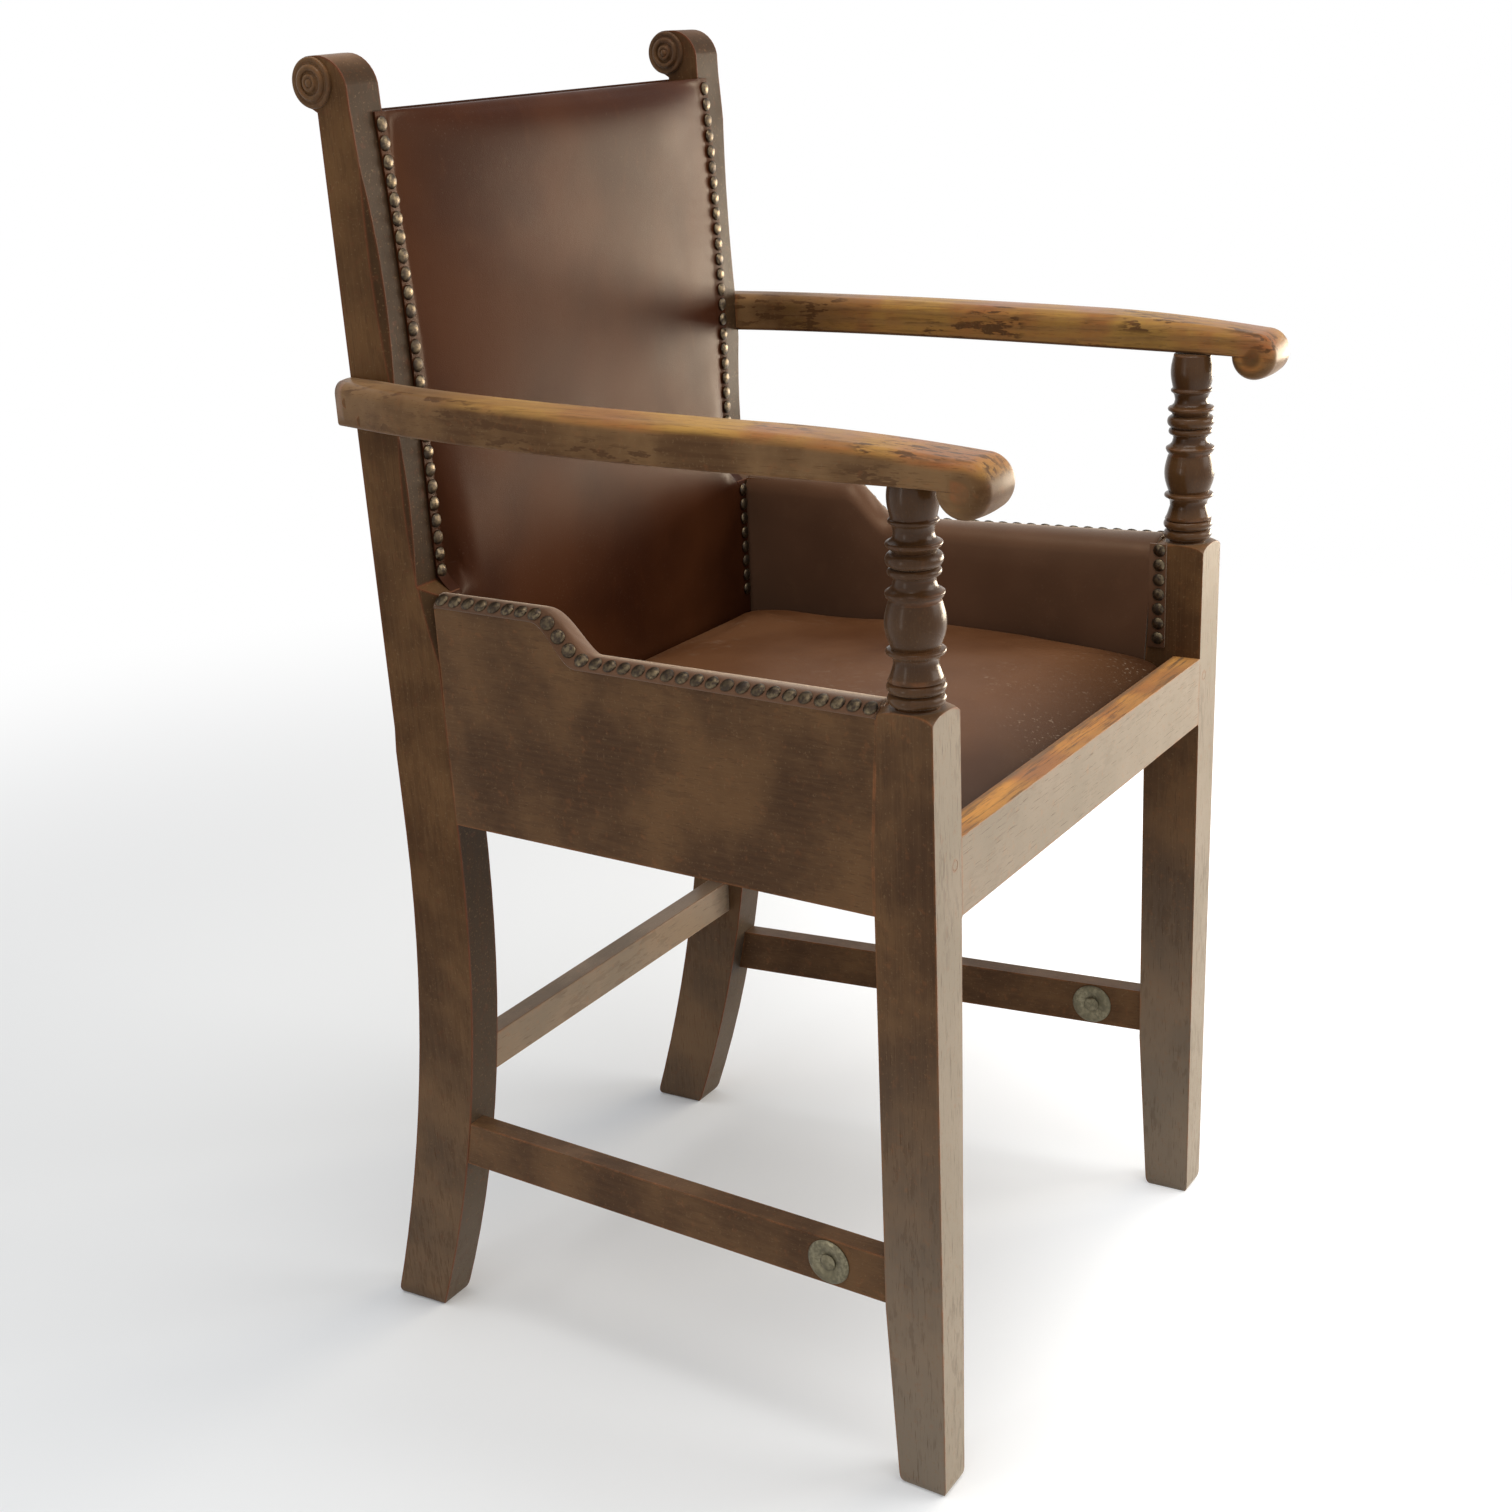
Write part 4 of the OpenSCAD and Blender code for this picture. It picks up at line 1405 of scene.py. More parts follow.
@dataclass
class Arm:
    """A shaped arm: bowed outward, thin at the front, with a drop scroll for a nose."""

    layout: Layout
    finishes: Finishes
    rear_w: float = 31
    rear_t: float = 29
    front_t: float = 23.8
    thinned: float = 6.5
    drop: float = 8
    overhang: float = 18
    top_round: float = 8.5
    low_round: float = 2.6
    crown: float = 0.54
    stations: int = 60
    nose_steps: int = 44
    nose_turn: float = 270.6
    post_cover: float = 27.5

    def out(self, t: float) -> float:
        """Outer face, with t from the post's front face (0) to the scroll's centre (1).

        Args:
            t: station.

        Returns:
            Distance from the chair's middle.
        """
        lay = self.layout
        root = lay.foot_x + math.tan(math.radians(lay.splay)) * (lay.arm_z + 20) + self.post_cover
        if t < 0:
            return root + 110 * t
        front = lay.front_w / 2 + self.overhang
        return mix(root, front, t) + lay.arm_bow * math.sin(math.pi * t**0.8)

    def inner(self, t: float) -> float:
        """Inner face."""
        return self.out(t) - mix(self.rear_w, self.layout.arm_w, math.sin(math.pi / 2 * clip(t)) ** 1.35)

    def low(self, t: float) -> float:
        """Underside."""
        return self.layout.arm_z + self.drop * (1 - t)

    def thick(self, t: float) -> float:
        """Thickness."""
        return mix(self.rear_t, self.front_t, t) - self.thinned * clip((t - 0.7) / 0.3) ** 1.8

    def depth(self, t: float) -> float:
        """Depth of station t."""
        return mix(self.layout.up_y, self.layout.nose_y, t)

    def station(self, y: float) -> float:
        """Station at a depth."""
        return (self.layout.up_y - y) / (self.layout.up_y - self.layout.nose_y)

    def section(self, x0: float, x1: float, thick: float, low_round: float) -> list[Point]:
        """Outline across the arm, from the middle of the underside round the inner side.

        Args:
            x0: inner face.
            x1: outer face.
            thick: thickness.
            low_round: radius of the lower corners.

        Returns:
            Points (x, height above the underside).
        """
        r = self.top_round
        q = low_round
        steps = [i / 6 for i in range(1, 6)]
        top = [(mix(x0 + r, x1 - r, i), thick + self.crown * math.sin(math.pi * i)) for i in steps]
        return (
            arc(x0 + q, q, q, 270, 180, 4)
            + arc(x0 + r, thick - r, r, 180, 90, 9)
            + top
            + arc(x1 - r, thick - r, r, 90, 0, 9)
            + arc(x1 - q, q, q, 0, -90, 4)
        )

    def rings(self) -> list[list[Vector]]:
        """Rings from the post's back, along the arm and round the scroll to its underside.

        Returns:
            The rings, with as many points each.
        """
        lay = self.layout
        rings = []
        start = self.station(lay.up_back - 0.4)
        for i in range(self.stations + 1):
            t = mix(start, 1, i / self.stations)
            low_round = max(0.02, self.low_round * clip((1 - t) / 0.08))
            outline = self.section(self.inner(t), self.out(t), self.thick(t), low_round)
            rings.append([lay.at(x, self.depth(t), self.low(t) + h) for x, h in outline])
        outline = self.section(self.inner(1), self.out(1), self.thick(1), 0.02)
        for i in range(1, self.nose_steps + 1):
            a = math.radians(self.nose_turn * i / self.nose_steps)
            ring = []
            for x, h in outline:
                y = lay.nose_y - h * math.sin(a)
                shift = self.out(self.station(max(y, lay.nose_y))) - self.out(1)
                ring.append(lay.at(x + shift, y, lay.arm_z + h * math.cos(a)))
            rings.append(ring)
        return rings

    def build(self, side: Side) -> None:
        """Makes one arm and cuts its lap round the back post.

        Args:
            side: side of the chair.
        """
        bm = bmesh.new()
        shell(bm, self.rings())
        tidy_normals(bm, 4e-5)
        mirrored(bm, side)
        arm = from_bmesh(f"arm_{side.value}_shaped", bm, 42)
        post = as_object("post_cutter", bpy.data.meshes.new("post_cutter"))
        cutter = merged(f"rear_post_{side.value}")
        cutter.to_mesh(post.data)
        cutter.free()
        lap = arm.modifiers.new("lap", "BOOLEAN")
        lap.operation = "DIFFERENCE"
        lap.solver = "EXACT"
        lap.object = post
        evaluated(arm)
        bpy.data.objects.remove(post)
        shade(arm.data, 42)
        finish_piece(arm, self.finishes.arm, Slot.OAK, f"arm_{side.value}")


@dataclass
class Roundels:
    """Small turned roundels on both faces of each post's scroll."""

    finishes: Finishes
    radius: float = 15.9

    def profile(self) -> list[Point]:
        """Radius over height in millimetres: a rim, a ring and a raised boss.

        Returns:
            Points (radius, height).
        """
        r = self.radius
        return (
            [(0, 0), (r, 0), (r, 1.2)]
            + arc(r - 1.3, 1.2, 1.3, 0, 90, 5)
            + [(13.4, 2.5), (12.9, 2.0), (12.2, 1.7), (11.6, 1.9)]
            + arc(9.4, 2.1, 2.0, 0, 180, 10)
            + [(7.0, 2.4), (6.2, 2.6), (5.6, 3.2)]
            + arc(4.1, 3.3, 1.4, 20, 150, 6)
            + [(2.4, 4.6), (1.7, 5.2), (0.9, 5.5), (0, 5.6)]
        )

    def build(self) -> None:
        """Makes the four roundels."""
        for side in Side:
            for face in ("outer", "inner"):
                node = f"roundel_{side.value}_{face}"
                place = seats_of(node)[0].place()
                roundel = turned_piece(f"{node}_turned", self.profile(), 72, place, 50, clean=False)
                finish_piece(roundel, self.finishes.turned, Slot.OAK, node)


@dataclass
class StretcherBolts:
    """Dished washers on both faces of the side stretchers, with their bolts and nuts."""

    finishes: Finishes
    washer_r: float = 17.0
    hole_r: float = 4.1
    floor_z: float = 0.9
    head_r: float = 6.2

    def washer(self) -> list[Point]:
        """Profile of a dished washer with a rolled rim.

        Returns:
            Points (radius, height) in millimetres.
        """
        r, hole, floor = self.washer_r, self.hole_r, self.floor_z
        rim = [(r - 0.6, 1.45), (r - 1.4, 2.0), (r - 2.6, 2.35)]
        dish = [(r - 4, 2.45), (r - 5.6, 2.3), (r - 7, 1.9), (r - 8.6, 1.3), (r - 10, floor)]
        return [(hole, 0), (r, 0), (r, 0.8)] + rim + dish + [(hole, floor), (hole, 0)]

    def bolt(self, through: float) -> list[Point]:
        """Profile of a bolt with a domed head, for two washers that lie a length apart."""
        shank, r, z = self.hole_r - 0.1, self.head_r, self.floor_z + 0.1
        stem = [(0, -through - 3.2), (shank, -through - 3.2), (shank, z), (r, z)]
        return stem + [(r, z + 0.7), (6.0, z + 1.0), (4.6, z + 1.7), (2.4, z + 2.1), (0, z + 2.2)]

    def nut(self) -> list[Point]:
        """Profile of a round nut."""
        hole, r, z = self.hole_r, self.head_r, self.floor_z + 0.1
        return [(hole, z), (r, z), (r, z + 1.2), (5.2, z + 2.2), (hole, z + 2.2), (hole, z)]

    def build(self) -> None:
        """Makes the washers, bolts and nuts."""
        for side in Side:
            s = side.value
            outer, inner = (seats_of(f"washer_{s}_{face}")[0].place() for face in ("outer", "inner"))
            through = (outer.translation - inner.translation).length * 1000
            for node, kind, profile, segments, place in (
                (f"washer_{s}_outer", "dished", self.washer(), 72, outer),
                (f"washer_{s}_inner", "dished", self.washer(), 72, inner),
                (f"bolt_{s}", "metal", self.bolt(through), 48, outer),
                (f"nut_{s}", "metal", self.nut(), 48, inner),
            ):
                piece = turned_piece(f"{node}_{kind}", profile, segments, place, 40)
                finish_piece(piece, self.finishes.disc, Slot.BRASS, node)


# Leather


def pull_tight(
    name: str, rows: list[Row], held: Callable[[int, int], bool], pressure: float, cap: float
) -> list[Row]:
    """Lets stuffing push a sheet of leather out between the places where it is held.

    Args:
        name: name of the simulated sheet.
        rows: points of the sheet, whose faces look outward.
        held: tells whether the point at (row, column) is nailed or glued down.
        pressure: push of the stuffing.
        cap: how far a point may move, in metres.

    Returns:
        The rows after the leather has settled.
    """
    width = len(rows[0])
    mesh = bpy.data.meshes.new(name)
    faces = [
        (r * width + c, r * width + c + 1, (r + 1) * width + c + 1, (r + 1) * width + c)
        for r in range(len(rows) - 1)
        for c in range(width - 1)
    ]
    mesh.from_pydata([p for row in rows for p in row], [], faces)
    sheet = as_object(name, mesh)
    pins = sheet.vertex_groups.new(name="held")
    fixed = [r * width + c for r in range(len(rows)) for c in range(width) if held(r, c)]
    pins.add(fixed, 1.0, "REPLACE")
    moved = iter(simulate(sheet, "held", pressure))
    return [[p + capped(next(moved) - p, cap) for p in row] for row in rows]


def simulate(obj: Object, pins: str, pressure: float) -> list[Vector]:
    """Runs the cloth for 20 frames, removes the object and returns its points.

    Args:
        obj: the sheet.
        pins: vertex group that is held.
        pressure: push of the stuffing.

    Returns:
        The settled points, in the mesh's order.
    """
    cloth = obj.modifiers.new("cloth", "CLOTH").settings
    for key, value in dict(
        quality=6,
        mass=0.4,
        tension_stiffness=25,
        compression_stiffness=25,
        shear_stiffness=12,
        bending_stiffness=1.5,
        air_damping=3,
        use_pressure=True,
        uniform_pressure_force=pressure,
        vertex_group_mass=pins,
    ).items():
        setattr(cloth, key, value)
    cloth.effector_weights.gravity = 0
    scene = bpy.context.scene
    for frame in range(1, 21):
        scene.frame_set(frame)
    graph = bpy.context.evaluated_depsgraph_get()
    points = [v.co.copy() for v in obj.evaluated_get(graph).data.vertices]
    scene.frame_set(1)
    bpy.data.objects.remove(obj)
    return points


def sheet_solid(name: str, front: list[Row], behind: list[Row]) -> Object:
    """Closes a leather face with what it is glued to behind, and smooths it.

    Args:
        name: name of the piece.
        front: outer points.
        behind: inner points, laid out as the outer ones.

    Returns:
        The piece.
    """
    bm = bmesh.new()
    shell(bm, [a + b[::-1] for a, b in zip(front, behind)])
    tidy_normals(bm, 1e-6)
    obj = from_bmesh(name, bm, 60)
    crease = obj.data.attributes.new("crease_edge", "FLOAT", "EDGE")
    sharp = obj.data.attributes.get("sharp_edge")
    if sharp is not None:
        crease.data.foreach_set("value", [0.9 if s.value else 0.0 for s in sharp.data])
    smoothed(obj, 60)
    return obj


@dataclass
class BackPad:
    """Padded leather stretched between the back posts, and the flat cover behind it."""

    layout: Layout
    finishes: Finishes
    columns: int = 72
    rows: int = 70
    roll: float = 12
    gap: float = 0.3
    pressure: float = 2.0
    cap: float = 0.0012

    def free(self, z: float) -> float:
        """Half the width of the leather between the posts."""
        return self.layout.post_in(z) - self.gap

    def columns_at(self, z: float) -> list[float]:
        """Places across the pad at a height, closer together near the posts.

        Args:
            z: height.

        Returns:
            Distances from the middle, from side to side.
        """
        free = self.free(z)
        lap = self.layout.post_in(z) + self.layout.lap_x
        steps = [mix(-1, 1, i / self.columns) for i in range(self.columns + 1)]
        inner = [math.sin(math.pi / 2 * t) * free for t in steps]
        return [-lap, -mix(lap, free, 0.5)] + inner + [mix(lap, free, 0.5), lap]

    def face(self, x: float, z: float) -> float:
        """Depth of the front at a place."""
        return self.layout.back_face(clip(abs(x) / self.free(z)), z)

    def build(self) -> None:
        """Makes the pad and its outer cover."""
        lay = self.layout
        low, top = lay.back_low, lay.back_top
        turn = [top - self.roll * (1 - math.sin(math.radians(a))) for a in range(15, 91, 15)]
        heights = [mix(low, top - self.roll - 2, i / self.rows) for i in range(self.rows + 1)] + turn
        front = [[lay.at(x, self.face(x, z), z) for x in self.columns_at(z)] for z in heights]
        last = len(front[0]) - 1

        def held(r: int, c: int) -> bool:
            """Tells whether a point is nailed or glued down."""
            return c <= 1 or c >= last - 1 or r <= 2 or r >= len(front) - 2

        front = pull_tight("back_leather", front[::-1], held, self.pressure, self.cap)[::-1]
        behind = []
        for z in heights:
            across = self.columns_at(z)
            on_post = lay.post_front(z) - 0.25
            depths = [on_post if abs(x) > self.free(z) + 0.1 else lay.rail_y - self.gap for x in across]
            behind.append([lay.at(x, y, z) for x, y in zip(across, depths)])
        pad = sheet_solid("back_pad_leather", front, behind)
        finish_piece(pad, self.finishes.hide, Slot.LEATHER, "back_pad")
        self.cover()

    def cover(self) -> None:
        """Makes the flat leather behind the back."""
        bm = merged("back_outer_cover")
        softened(bm, 0.5)
        cover = from_bmesh("outer_cover_leather", bm)
        finish_piece(cover, self.finishes.hide, Slot.LEATHER, "back_outer_cover")


@dataclass
class SidePads:
    """Leather over the side panels, turned down over their outer edge under the nails."""

    layout: Layout
    finishes: Finishes
    along: int = 96
    pressure: float = 2.0
    cap: float = 0.0015

    def over(self, y: float) -> list[Point]:
        """Leather from its outer lower edge, over the top and down the inner side.

        Args:
            y: depth.

        Returns:
            Points (x, z).
        """
        lay = self.layout
        x, top, edge = lay.side_x(y), lay.panel_top(y), lay.edge_z(y)
        xi, xr = lay.pad_in(y), x - 10
        lip = [(x + 0.5, edge - 0.2), (x + 1.0, edge + 0.5), (x + 0.8, edge + 1.6), (x + 0.4, edge + 2.6)]
        slope = [(mix(x + 0.4, x - 6.4, i / 4), mix(edge + 2.6, top - 0.9, i / 4)) for i in range(1, 5)]
        turns = [math.radians(a) for a in range(8, 91, 8)]
        roll = [(mix(xr, xi, math.sin(a)), top - 15 * (1 - math.cos(a))) for a in turns]
        low = lay.bearer_z + 0.4
        inner = [(xi, mix(top - 15, low, i / 16)) for i in range(1, 17)]
        return lip + slope + [(x - 8.2, top - 0.25), (xr, top)] + roll + inner

    def under(self, y: float, count: int) -> list[Point]:
        """Face of the panel under the leather, with as many points.

        Args:
            y: depth.
            count: how many points.

        Returns:
            Points (x, z).
        """
        lay = self.layout
        x, top, edge = lay.side_x(y), lay.panel_top(y) - lay.leather, lay.edge_z(y)
        inner = x - lay.panel_t - 0.1
        path = [(x + 0.05, edge), (x - 0.8, edge + 1.8), (x - 7, top - 0.8), (inner, top)]
        low = lay.bearer_z + 0.4
        return path + [(inner, mix(top, low, i / (count - 4))) for i in range(1, count - 3)]

    def depth(self, s: float, z: float) -> float:
        """Depth of station s, from the leg's slanted back (0) to the post's face (1)."""
        lay = self.layout
        return mix(lay.leg_back(z) + 0.4, lay.post_y - 0.4, s)

    def build(self, side: Side) -> None:
        """Makes one side pad with its lap on the leg.

        Args:
            side: side of the chair.
        """
        lay = self.layout
        stations = [i / self.along for i in range(self.along + 1)][::-1]
        front: list[Row] = []
        behind: list[Row] = []
        for s in stations:
            y = mix(lay.leg_back(lay.panel_front), lay.post_y, s)
            over = self.over(y)
            under = self.under(y, len(over))
            front.append([lay.at(x, self.depth(s, z), z) for x, z in over])
            behind.append([lay.at(x, self.depth(s, z), z) for x, z in under])
        rows = len(front)
        width = len(front[0])

        def held(r: int, c: int) -> bool:
            """Tells whether a point is nailed or glued down."""
            return c < 8 or c > width - 6 or r < 2 or r > rows - 3

        front = pull_tight(f"side_leather_{side.value}", front, held, self.pressure, self.cap)
        pad = sheet_solid(f"side_pad_{side.value}_leather", front, behind)
        bm = bmesh.new()
        bm.from_mesh(pad.data)
        self.lap(bm)
        mirrored(bm, side)
        bm.to_mesh(pad.data)
        bm.free()
        shade(pad.data, 60)
        finish_piece(pad, self.finishes.side_hide, Slot.LEATHER, f"side_pad_{side.value}")

    def lap(self, bm: Solid) -> None:
        """Adds the flat lap that is nailed to the leg's inner face.

        Args:
            bm: the pad's mesh, which gets the lap.
        """
        lay = self.layout
        rings = []
        low, high = lay.seat_h + 6, lay.panel_front - 3
        y0, y1 = lay.block_d - lay.nail_d - 1, lay.block_d + 3
        x0, x1 = lay.leg_in - lay.leather, lay.leg_in - 0.02
        for z, grow in ((low, 0.0), (low + 1, 0.5), (high - 1, 0.5), (high, 0.0)):
            ring = [(x1, y0 - grow), (x0 + 0.5 - grow, y0 - grow), (x0 + 0.5 - grow, y1), (x1, y1)]
            rings.append([lay.at(x, y, z) for x, y in ring])
        strip = bmesh.new()
        shell(strip, rings)
        tidy_normals(strip, 1e-6)
        mesh = bpy.data.meshes.new("lap")
        strip.to_mesh(mesh)
        strip.free()
        bm.from_mesh(mesh)
        bpy.data.meshes.remove(mesh)


@dataclass
class LooseSeat:
    """The drop-in seat: a leather cushion over webbing on a wooden frame."""

    layout: Layout
    finishes: Finishes
    voxel: float = 0.005
    pressure: float = 4.0
    cap: float = 0.003
    roll: float = 0.05
    drop: float = 0.009
    shrink: Point3 = (0.998, 0.998, 0.97)

    def build(self) -> None:
        """Makes the cushion and dresses the webbing."""
        bm = merged("seat_cushion")
        low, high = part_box("seat_cushion")
        middle = (low + high) / 2
        middle.z = low.z
        for v in bm.verts:
            for i, share in enumerate(self.shrink):
                v.co[i] = middle[i] + (v.co[i] - middle[i]) * share
        cushion = from_bmesh("seat_cushion_leather", bm, 180)
        remesh = cushion.modifiers.new("cells", "REMESH")
        remesh.mode = "VOXEL"
        remesh.voxel_size = self.voxel
        evaluated(cushion)
        for v in cushion.data.vertices:
            near = clip(1 - (v.co.y - low.y) / self.roll)
            v.co.z -= self.drop * near**2 * clip((v.co.z - low.z) / (high.z - low.z))
        self.swell(cushion, low.z)
        smoothed(cushion, 180)
        finish_piece(cushion, self.finishes.seat_hide, Slot.LEATHER, "seat_cushion", "seat")
        webbing = bpy.data.objects["seat_webbing"]
        webbing.data.materials.clear()
        webbing.data.materials.append(self.finishes.webbing)

    def swell(self, cushion: Object, floor: float) -> None:
        """Fills the cushion by simulation, with its underside held by the frame.

        Args:
            cushion: the cushion.
            floor: height of its underside.
        """
        start = [v.co.copy() for v in cushion.data.vertices]
        copy = as_object("cushion_cloth", cushion.data.copy())
        pins = copy.vertex_groups.new(name="held")
        pins.add([i for i, p in enumerate(start) if p.z < floor + 0.004], 1.0, "REPLACE")
        for vertex, old, new in zip(cushion.data.vertices, start, simulate(copy, "held", self.pressure)):
            vertex.co = old + capped(new - old, self.cap)


# Nails


@dataclass
class Nails:
    """Rows of domed brass nails, set by geometry nodes on the places the frame gives."""

    layout: Layout
    finishes: Finishes
    segments: int = 12
    spread: float = 1.12
    tilt: float = 0.05
    seed: int = 7

    @property
    def width(self) -> float:
        """Width of a head, a little more than the CAD disc's."""
        return self.layout.nail_d * self.spread

    def head(self) -> Object:
        """One nail's head, a metre wide, with a thin rim and a full dome.

        Returns:
            The head.
        """
        bm = bmesh.new()
        rise = self.layout.nail_h / self.width
        turns = [math.radians(a) for a in (8, 34, 62)]
        dome = [(0.5 * math.cos(a), rise * math.sin(a)) for a in turns]
        profile = [(0.0, -0.012), (0.49, -0.012)] + dome + [(0.0, rise)]
        lathe(bm, profile, self.segments, Matrix.Identity(4), 1)
        return from_bmesh("nail_head", bm, 60)

    def tree(self) -> Tree:
        """Geometry nodes that set one head on each point, leaning as the point says.

        Returns:
            The tree.
        """
        tree = bpy.data.node_groups.new("nail_row", "GeometryNodeTree")
        takes = {"Geometry": "Geometry", "Head": "Object", "Width": "Float", "Tilt": "Float"}
        for key, kind in {**takes, "Seed": "Int", "Finish": "Material"}.items():
            tree.interface.new_socket(key, in_out="INPUT", socket_type=f"NodeSocket{kind}")
        tree.interface.new_socket("Geometry", in_out="OUTPUT", socket_type="NodeSocketGeometry")
        b = Board(tree)
        start = b.add("NodeGroupInput").outputs
        lean = b.add("GeometryNodeInputNamedAttribute", {"data_type": "FLOAT_VECTOR"}, Name="lean")
        aim = b.add("FunctionNodeAlignRotationToVector", {"axis": "Z"}, Vector=lean.outputs[0])
        wobble = b.add("FunctionNodeRandomValue", {"data_type": "FLOAT_VECTOR"}, Seed=start["Seed"])
        centred = b.vector("SUBTRACT", wobble.outputs[0], (0.5, 0.5, 0.5))
        spread = b.vector("SCALE", centred.outputs[0])
        b.put(spread.inputs["Scale"], start["Tilt"])
        turn = b.add("FunctionNodeEulerToRotation", Euler=spread.outputs[0])
        rotate = b.add("FunctionNodeRotateRotation", {"rotation_space": "LOCAL"})
        b.put(rotate.inputs[0], aim.outputs[0])
        b.put(rotate.inputs[1], turn.outputs[0])
        head = b.add("GeometryNodeObjectInfo", Object=start["Head"])
        size = b.add("ShaderNodeCombineXYZ", X=start["Width"], Y=start["Width"], Z=start["Width"])
        spots = b.add(
            "GeometryNodeInstanceOnPoints",
            Points=start["Geometry"],
            Instance=head.outputs["Geometry"],
            Rotation=rotate.outputs[0],
            Scale=size.outputs[0],
        )
        real = b.add("GeometryNodeRealizeInstances", Geometry=spots.outputs[0])
        dressed = b.add("GeometryNodeSetMaterial", Geometry=real.outputs[0], Material=start["Finish"])
        return b.give(Geometry=dressed.outputs[0])

    def row(self, node: str, head: Object, tree: Tree) -> None:
        """Makes one row of nails.

        Args:
            node: CAD node.
            head: one head.
            tree: the nails' geometry nodes.
        """
        seats = seats_of(node)
        mesh = bpy.data.meshes.new(node)
        mesh.from_pydata([s.centre for s in seats], [], [])
        lean = mesh.attributes.new("lean", "FLOAT_VECTOR", "POINT")
        lean.data.foreach_set("vector", [c for s in seats for c in s.facing])
        row = as_object(f"{node}_brass", mesh)
        modifier = row.modifiers.new("nails", "NODES")
        modifier.node_group = tree
        keys = {item.name: item.identifier for item in tree.interface.items_tree if item.in_out == "INPUT"}
        values = {"Head": head, "Width": self.width / 1000, "Tilt": self.tilt, "Seed": self.seed}
        for key, value in {**values, "Finish": self.finishes.nail}.items():
            modifier[keys[key]] = value
        evaluated(row)
        shade(row.data, 60)
        finish_piece(row, self.finishes.nail, Slot.BRASS, node)

    def build(self) -> None:
        """Makes every row."""
        head = self.head()
        tree = self.tree()
        for side in Side:
            for kind in ("back", "side", "leg", "cover"):
                self.row(f"{kind}_nails_{side.value}", head, tree)
        bpy.data.objects.remove(head)


# Studio


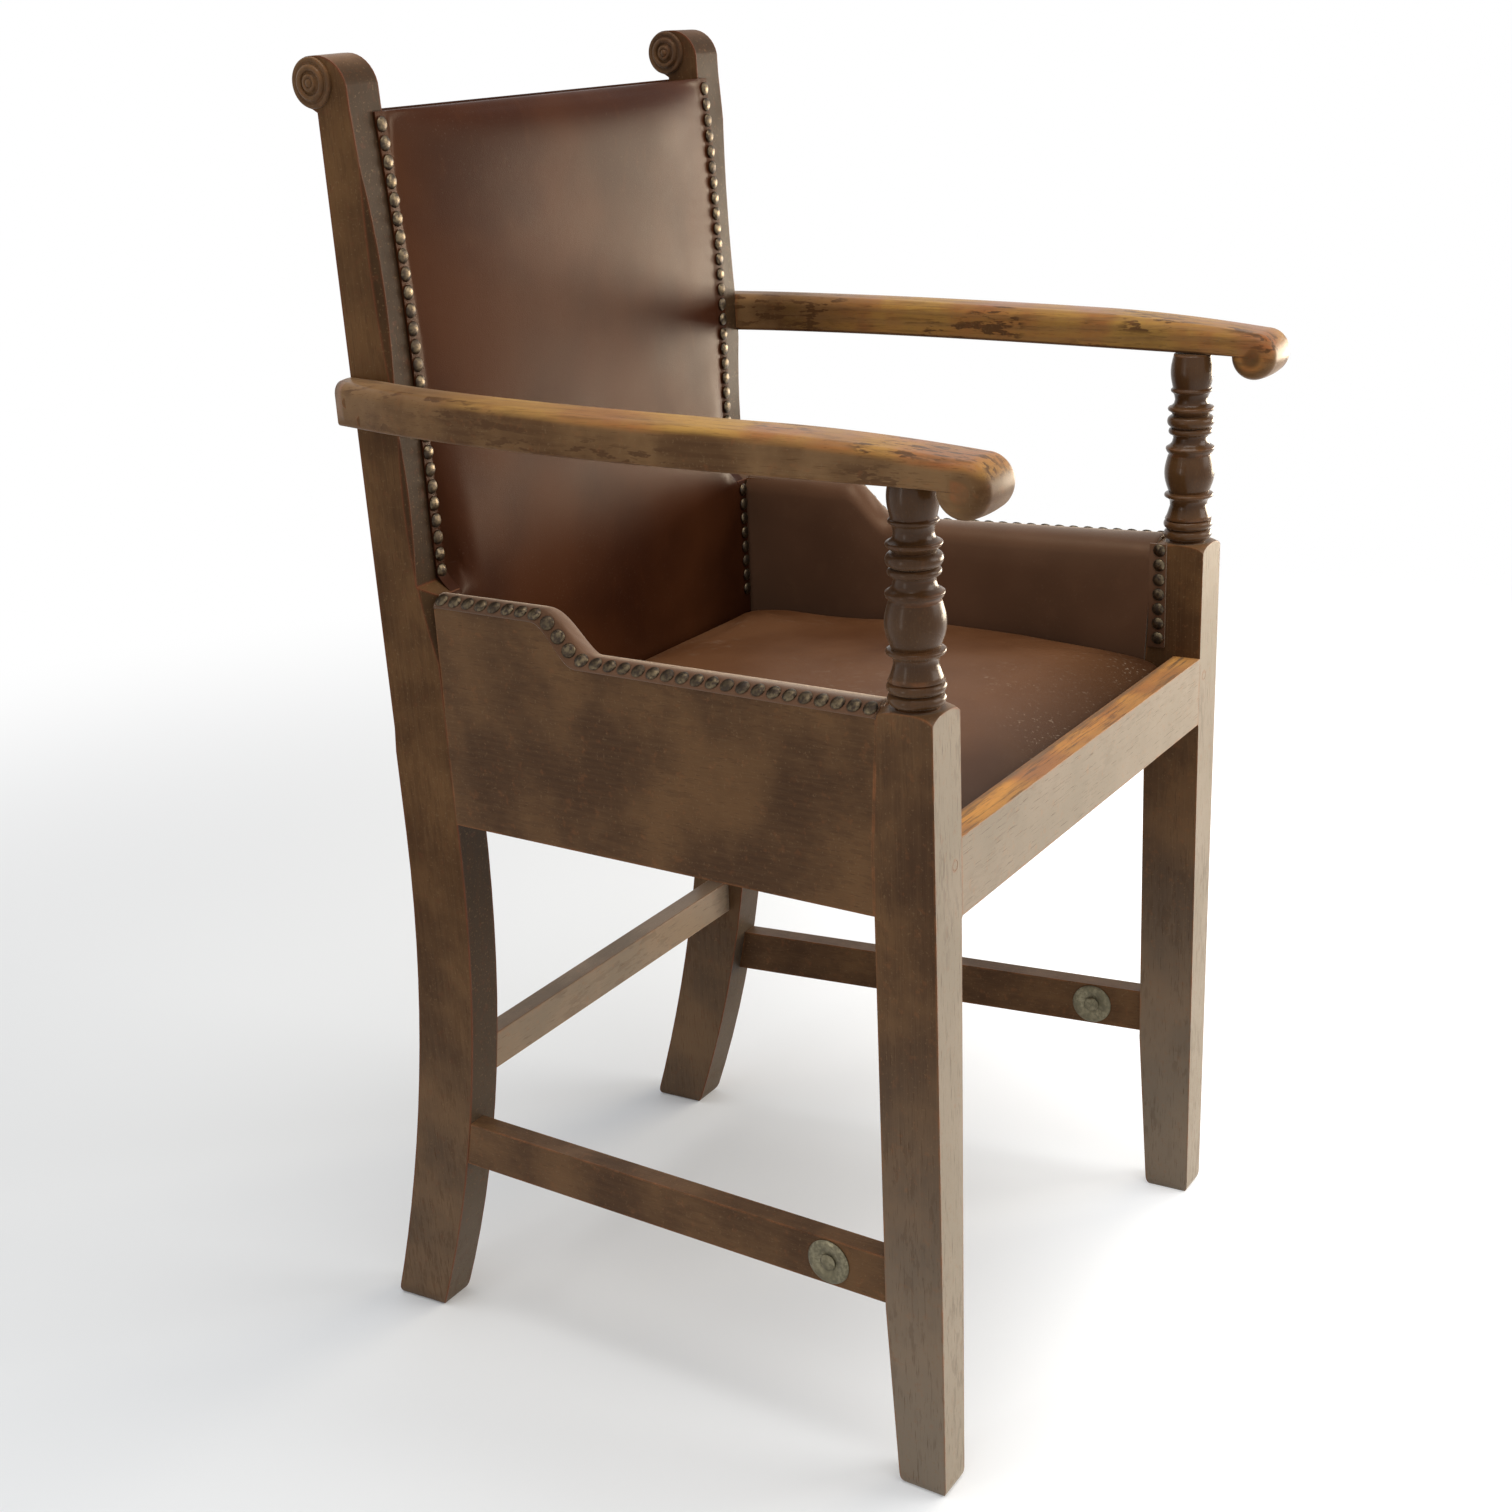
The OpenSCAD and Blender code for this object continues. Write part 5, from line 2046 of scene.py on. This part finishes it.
@dataclass
class Studio:
    """Pale floor, soft light from the front, and the camera at the photograph's angle."""

    place: tuple[float, float, float] = (-1.38284, -0.80898, 0.97784)
    yaw: float = 58.1746
    pitch: float = 22.4541
    roll: float = 2.9197
    focal_px: float = 2193.71
    image_px: float = 1512
    shift: float = 0.1
    floor_colour: Colour = (0.75, 0.785, 0.83)

    def camera(self) -> None:
        """Makes the camera."""
        yaw, pitch, roll = (math.radians(a) for a in (self.yaw, self.pitch, self.roll))
        level = math.cos(pitch)
        ahead = Vector((math.sin(yaw) * level, math.cos(yaw) * level, -math.sin(pitch)))
        right = Vector((math.cos(yaw), -math.sin(yaw), 0))
        down = ahead.cross(right)
        across = math.cos(roll) * right + math.sin(roll) * down
        below = -math.sin(roll) * right + math.cos(roll) * down
        data = bpy.data.cameras.new("camera")
        data.sensor_width = 36
        data.lens = self.focal_px * data.sensor_width / self.image_px
        data.shift_y = self.shift
        data.clip_start = 0.05
        data.clip_end = 100
        camera = bpy.data.objects.new("camera", data)
        turn = Matrix((across, -below, -ahead)).transposed().to_4x4()
        camera.matrix_world = Matrix.Translation(self.place) @ turn
        bpy.context.scene.collection.objects.link(camera)
        bpy.context.scene.camera = camera

    def lamp(
        self,
        name: str,
        place: Point3,
        aim: Point3,
        size: Point,
        power: float,
        colour: Colour = (1, 0.95, 0.88),
    ) -> None:
        """Makes one soft oblong lamp that looks at a point.

        Args:
            name: name of the lamp.
            place: where it stands.
            aim: point that it looks at.
            size: width and height.
            power: power in watts.
            colour: colour of its light.
        """
        data = bpy.data.lights.new(name, "AREA")
        data.color = colour
        data.shape = "RECTANGLE"
        data.size, data.size_y = size
        data.energy = power
        lamp = bpy.data.objects.new(name, data)
        lamp.location = place
        lamp.visible_camera = False
        lamp.rotation_mode = "QUATERNION"
        lamp.rotation_quaternion = (Vector(aim) - Vector(place)).to_track_quat("-Z", "Y")
        bpy.context.scene.collection.objects.link(lamp)

    def world(self) -> None:
        """Even grey light, seen as white by the camera, mirrors and glass."""
        world = bpy.data.worlds.new("studio")
        bpy.context.scene.world = world
        world.use_nodes = True
        b = Board(world.node_tree)
        sky = world.node_tree.nodes["Background"]
        b.put(sky.inputs["Strength"], b.span(b.seen(), 0, 1, 0.48, 1.0))
        sky.inputs["Color"].default_value = (1, 1, 1, 1)

    def floor(self) -> None:
        """Makes the floor, white to the camera but for the chair's shadow, with a painted glow towards the
        image's right.
        """
        bm = bmesh.new()
        bmesh.ops.create_circle(bm, cap_ends=True, segments=64, radius=40)
        floor = from_bmesh("floor", bm)
        mat, b, shader, place = start_material("pale_floor")
        mat.node_tree.nodes.remove(shader)
        seen = b.seen()
        matte = b.add("ShaderNodeBsdfDiffuse", Color=rgba(self.floor_colour))
        # Painted light: the camera sees the floor glow brighter towards the image's right.
        across = b.vector("DOT_PRODUCT", place, (0.53, -0.85, 0.0)).outputs["Value"]
        painted_floor_glow = b.times(seen, b.span(across, -0.2, 0.55, 0.06, 0.5))
        lift = b.add("ShaderNodeEmission", Color=(1, 1, 1, 1), Strength=painted_floor_glow)
        near = b.add("ShaderNodeAddShader")
        b.put(near.inputs[0], matte.outputs[0])
        b.put(near.inputs[1], lift.outputs[0])
        white = b.add("ShaderNodeEmission", Color=(1, 1, 1, 1), Strength=1.0)
        reach = b.vector("LENGTH", place).outputs["Value"]
        both = b.add("ShaderNodeMixShader", Fac=b.times(b.span(reach, 0.9, 2.4), seen))
        b.put(both.inputs[1], near.outputs[0])
        b.put(both.inputs[2], white.outputs[0])
        b.put(mat.node_tree.nodes["Material Output"].inputs["Surface"], both.outputs[0])
        floor.data.materials.append(mat)

    def build(self) -> None:
        """Sets up the whole studio."""
        self.camera()
        self.world()
        self.floor()
        self.lamp("key", (1.2, -2.6, 1.7), (0, 0, 0.4), (1.8, 1.8), 42)
        self.lamp("window", (3.1, -1.2, 0.5), (0, -0.2, 0.45), (2.0, 1.0), 118, (1, 0.85, 0.65))
        self.lamp("strip", (-1.9, 0.6, 0.75), (0, -0.2, 0.6), (0.14, 1.2), 3.6)
        self.lamp("top", (-0.3, -0.3, 2.8), (0, 0, 0.3), (1.6, 1.6), 38)
        bpy.context.scene.view_settings.view_transform = "Standard"


def main() -> None:
    """Builds the chair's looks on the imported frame."""
    logging.basicConfig(level=logging.INFO, format="%(message)s")
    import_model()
    layout = Layout(front=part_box("front_leg_left")[0].y)
    finishes = Finishes.build()
    Studio().build()
    Timber(finishes).build()
    legs = FrontLegs(layout, finishes)
    arm = Arm(layout, finishes)
    pads = SidePads(layout, finishes)
    for side in Side:
        legs.build(side)
        arm.build(side)
        pads.build(side)
    Roundels(finishes).build()
    StretcherBolts(finishes).build()
    BackPad(layout, finishes).build()
    LooseSeat(layout, finishes).build()
    Nails(layout, finishes).build()


if __name__ == "__main__":
    main()
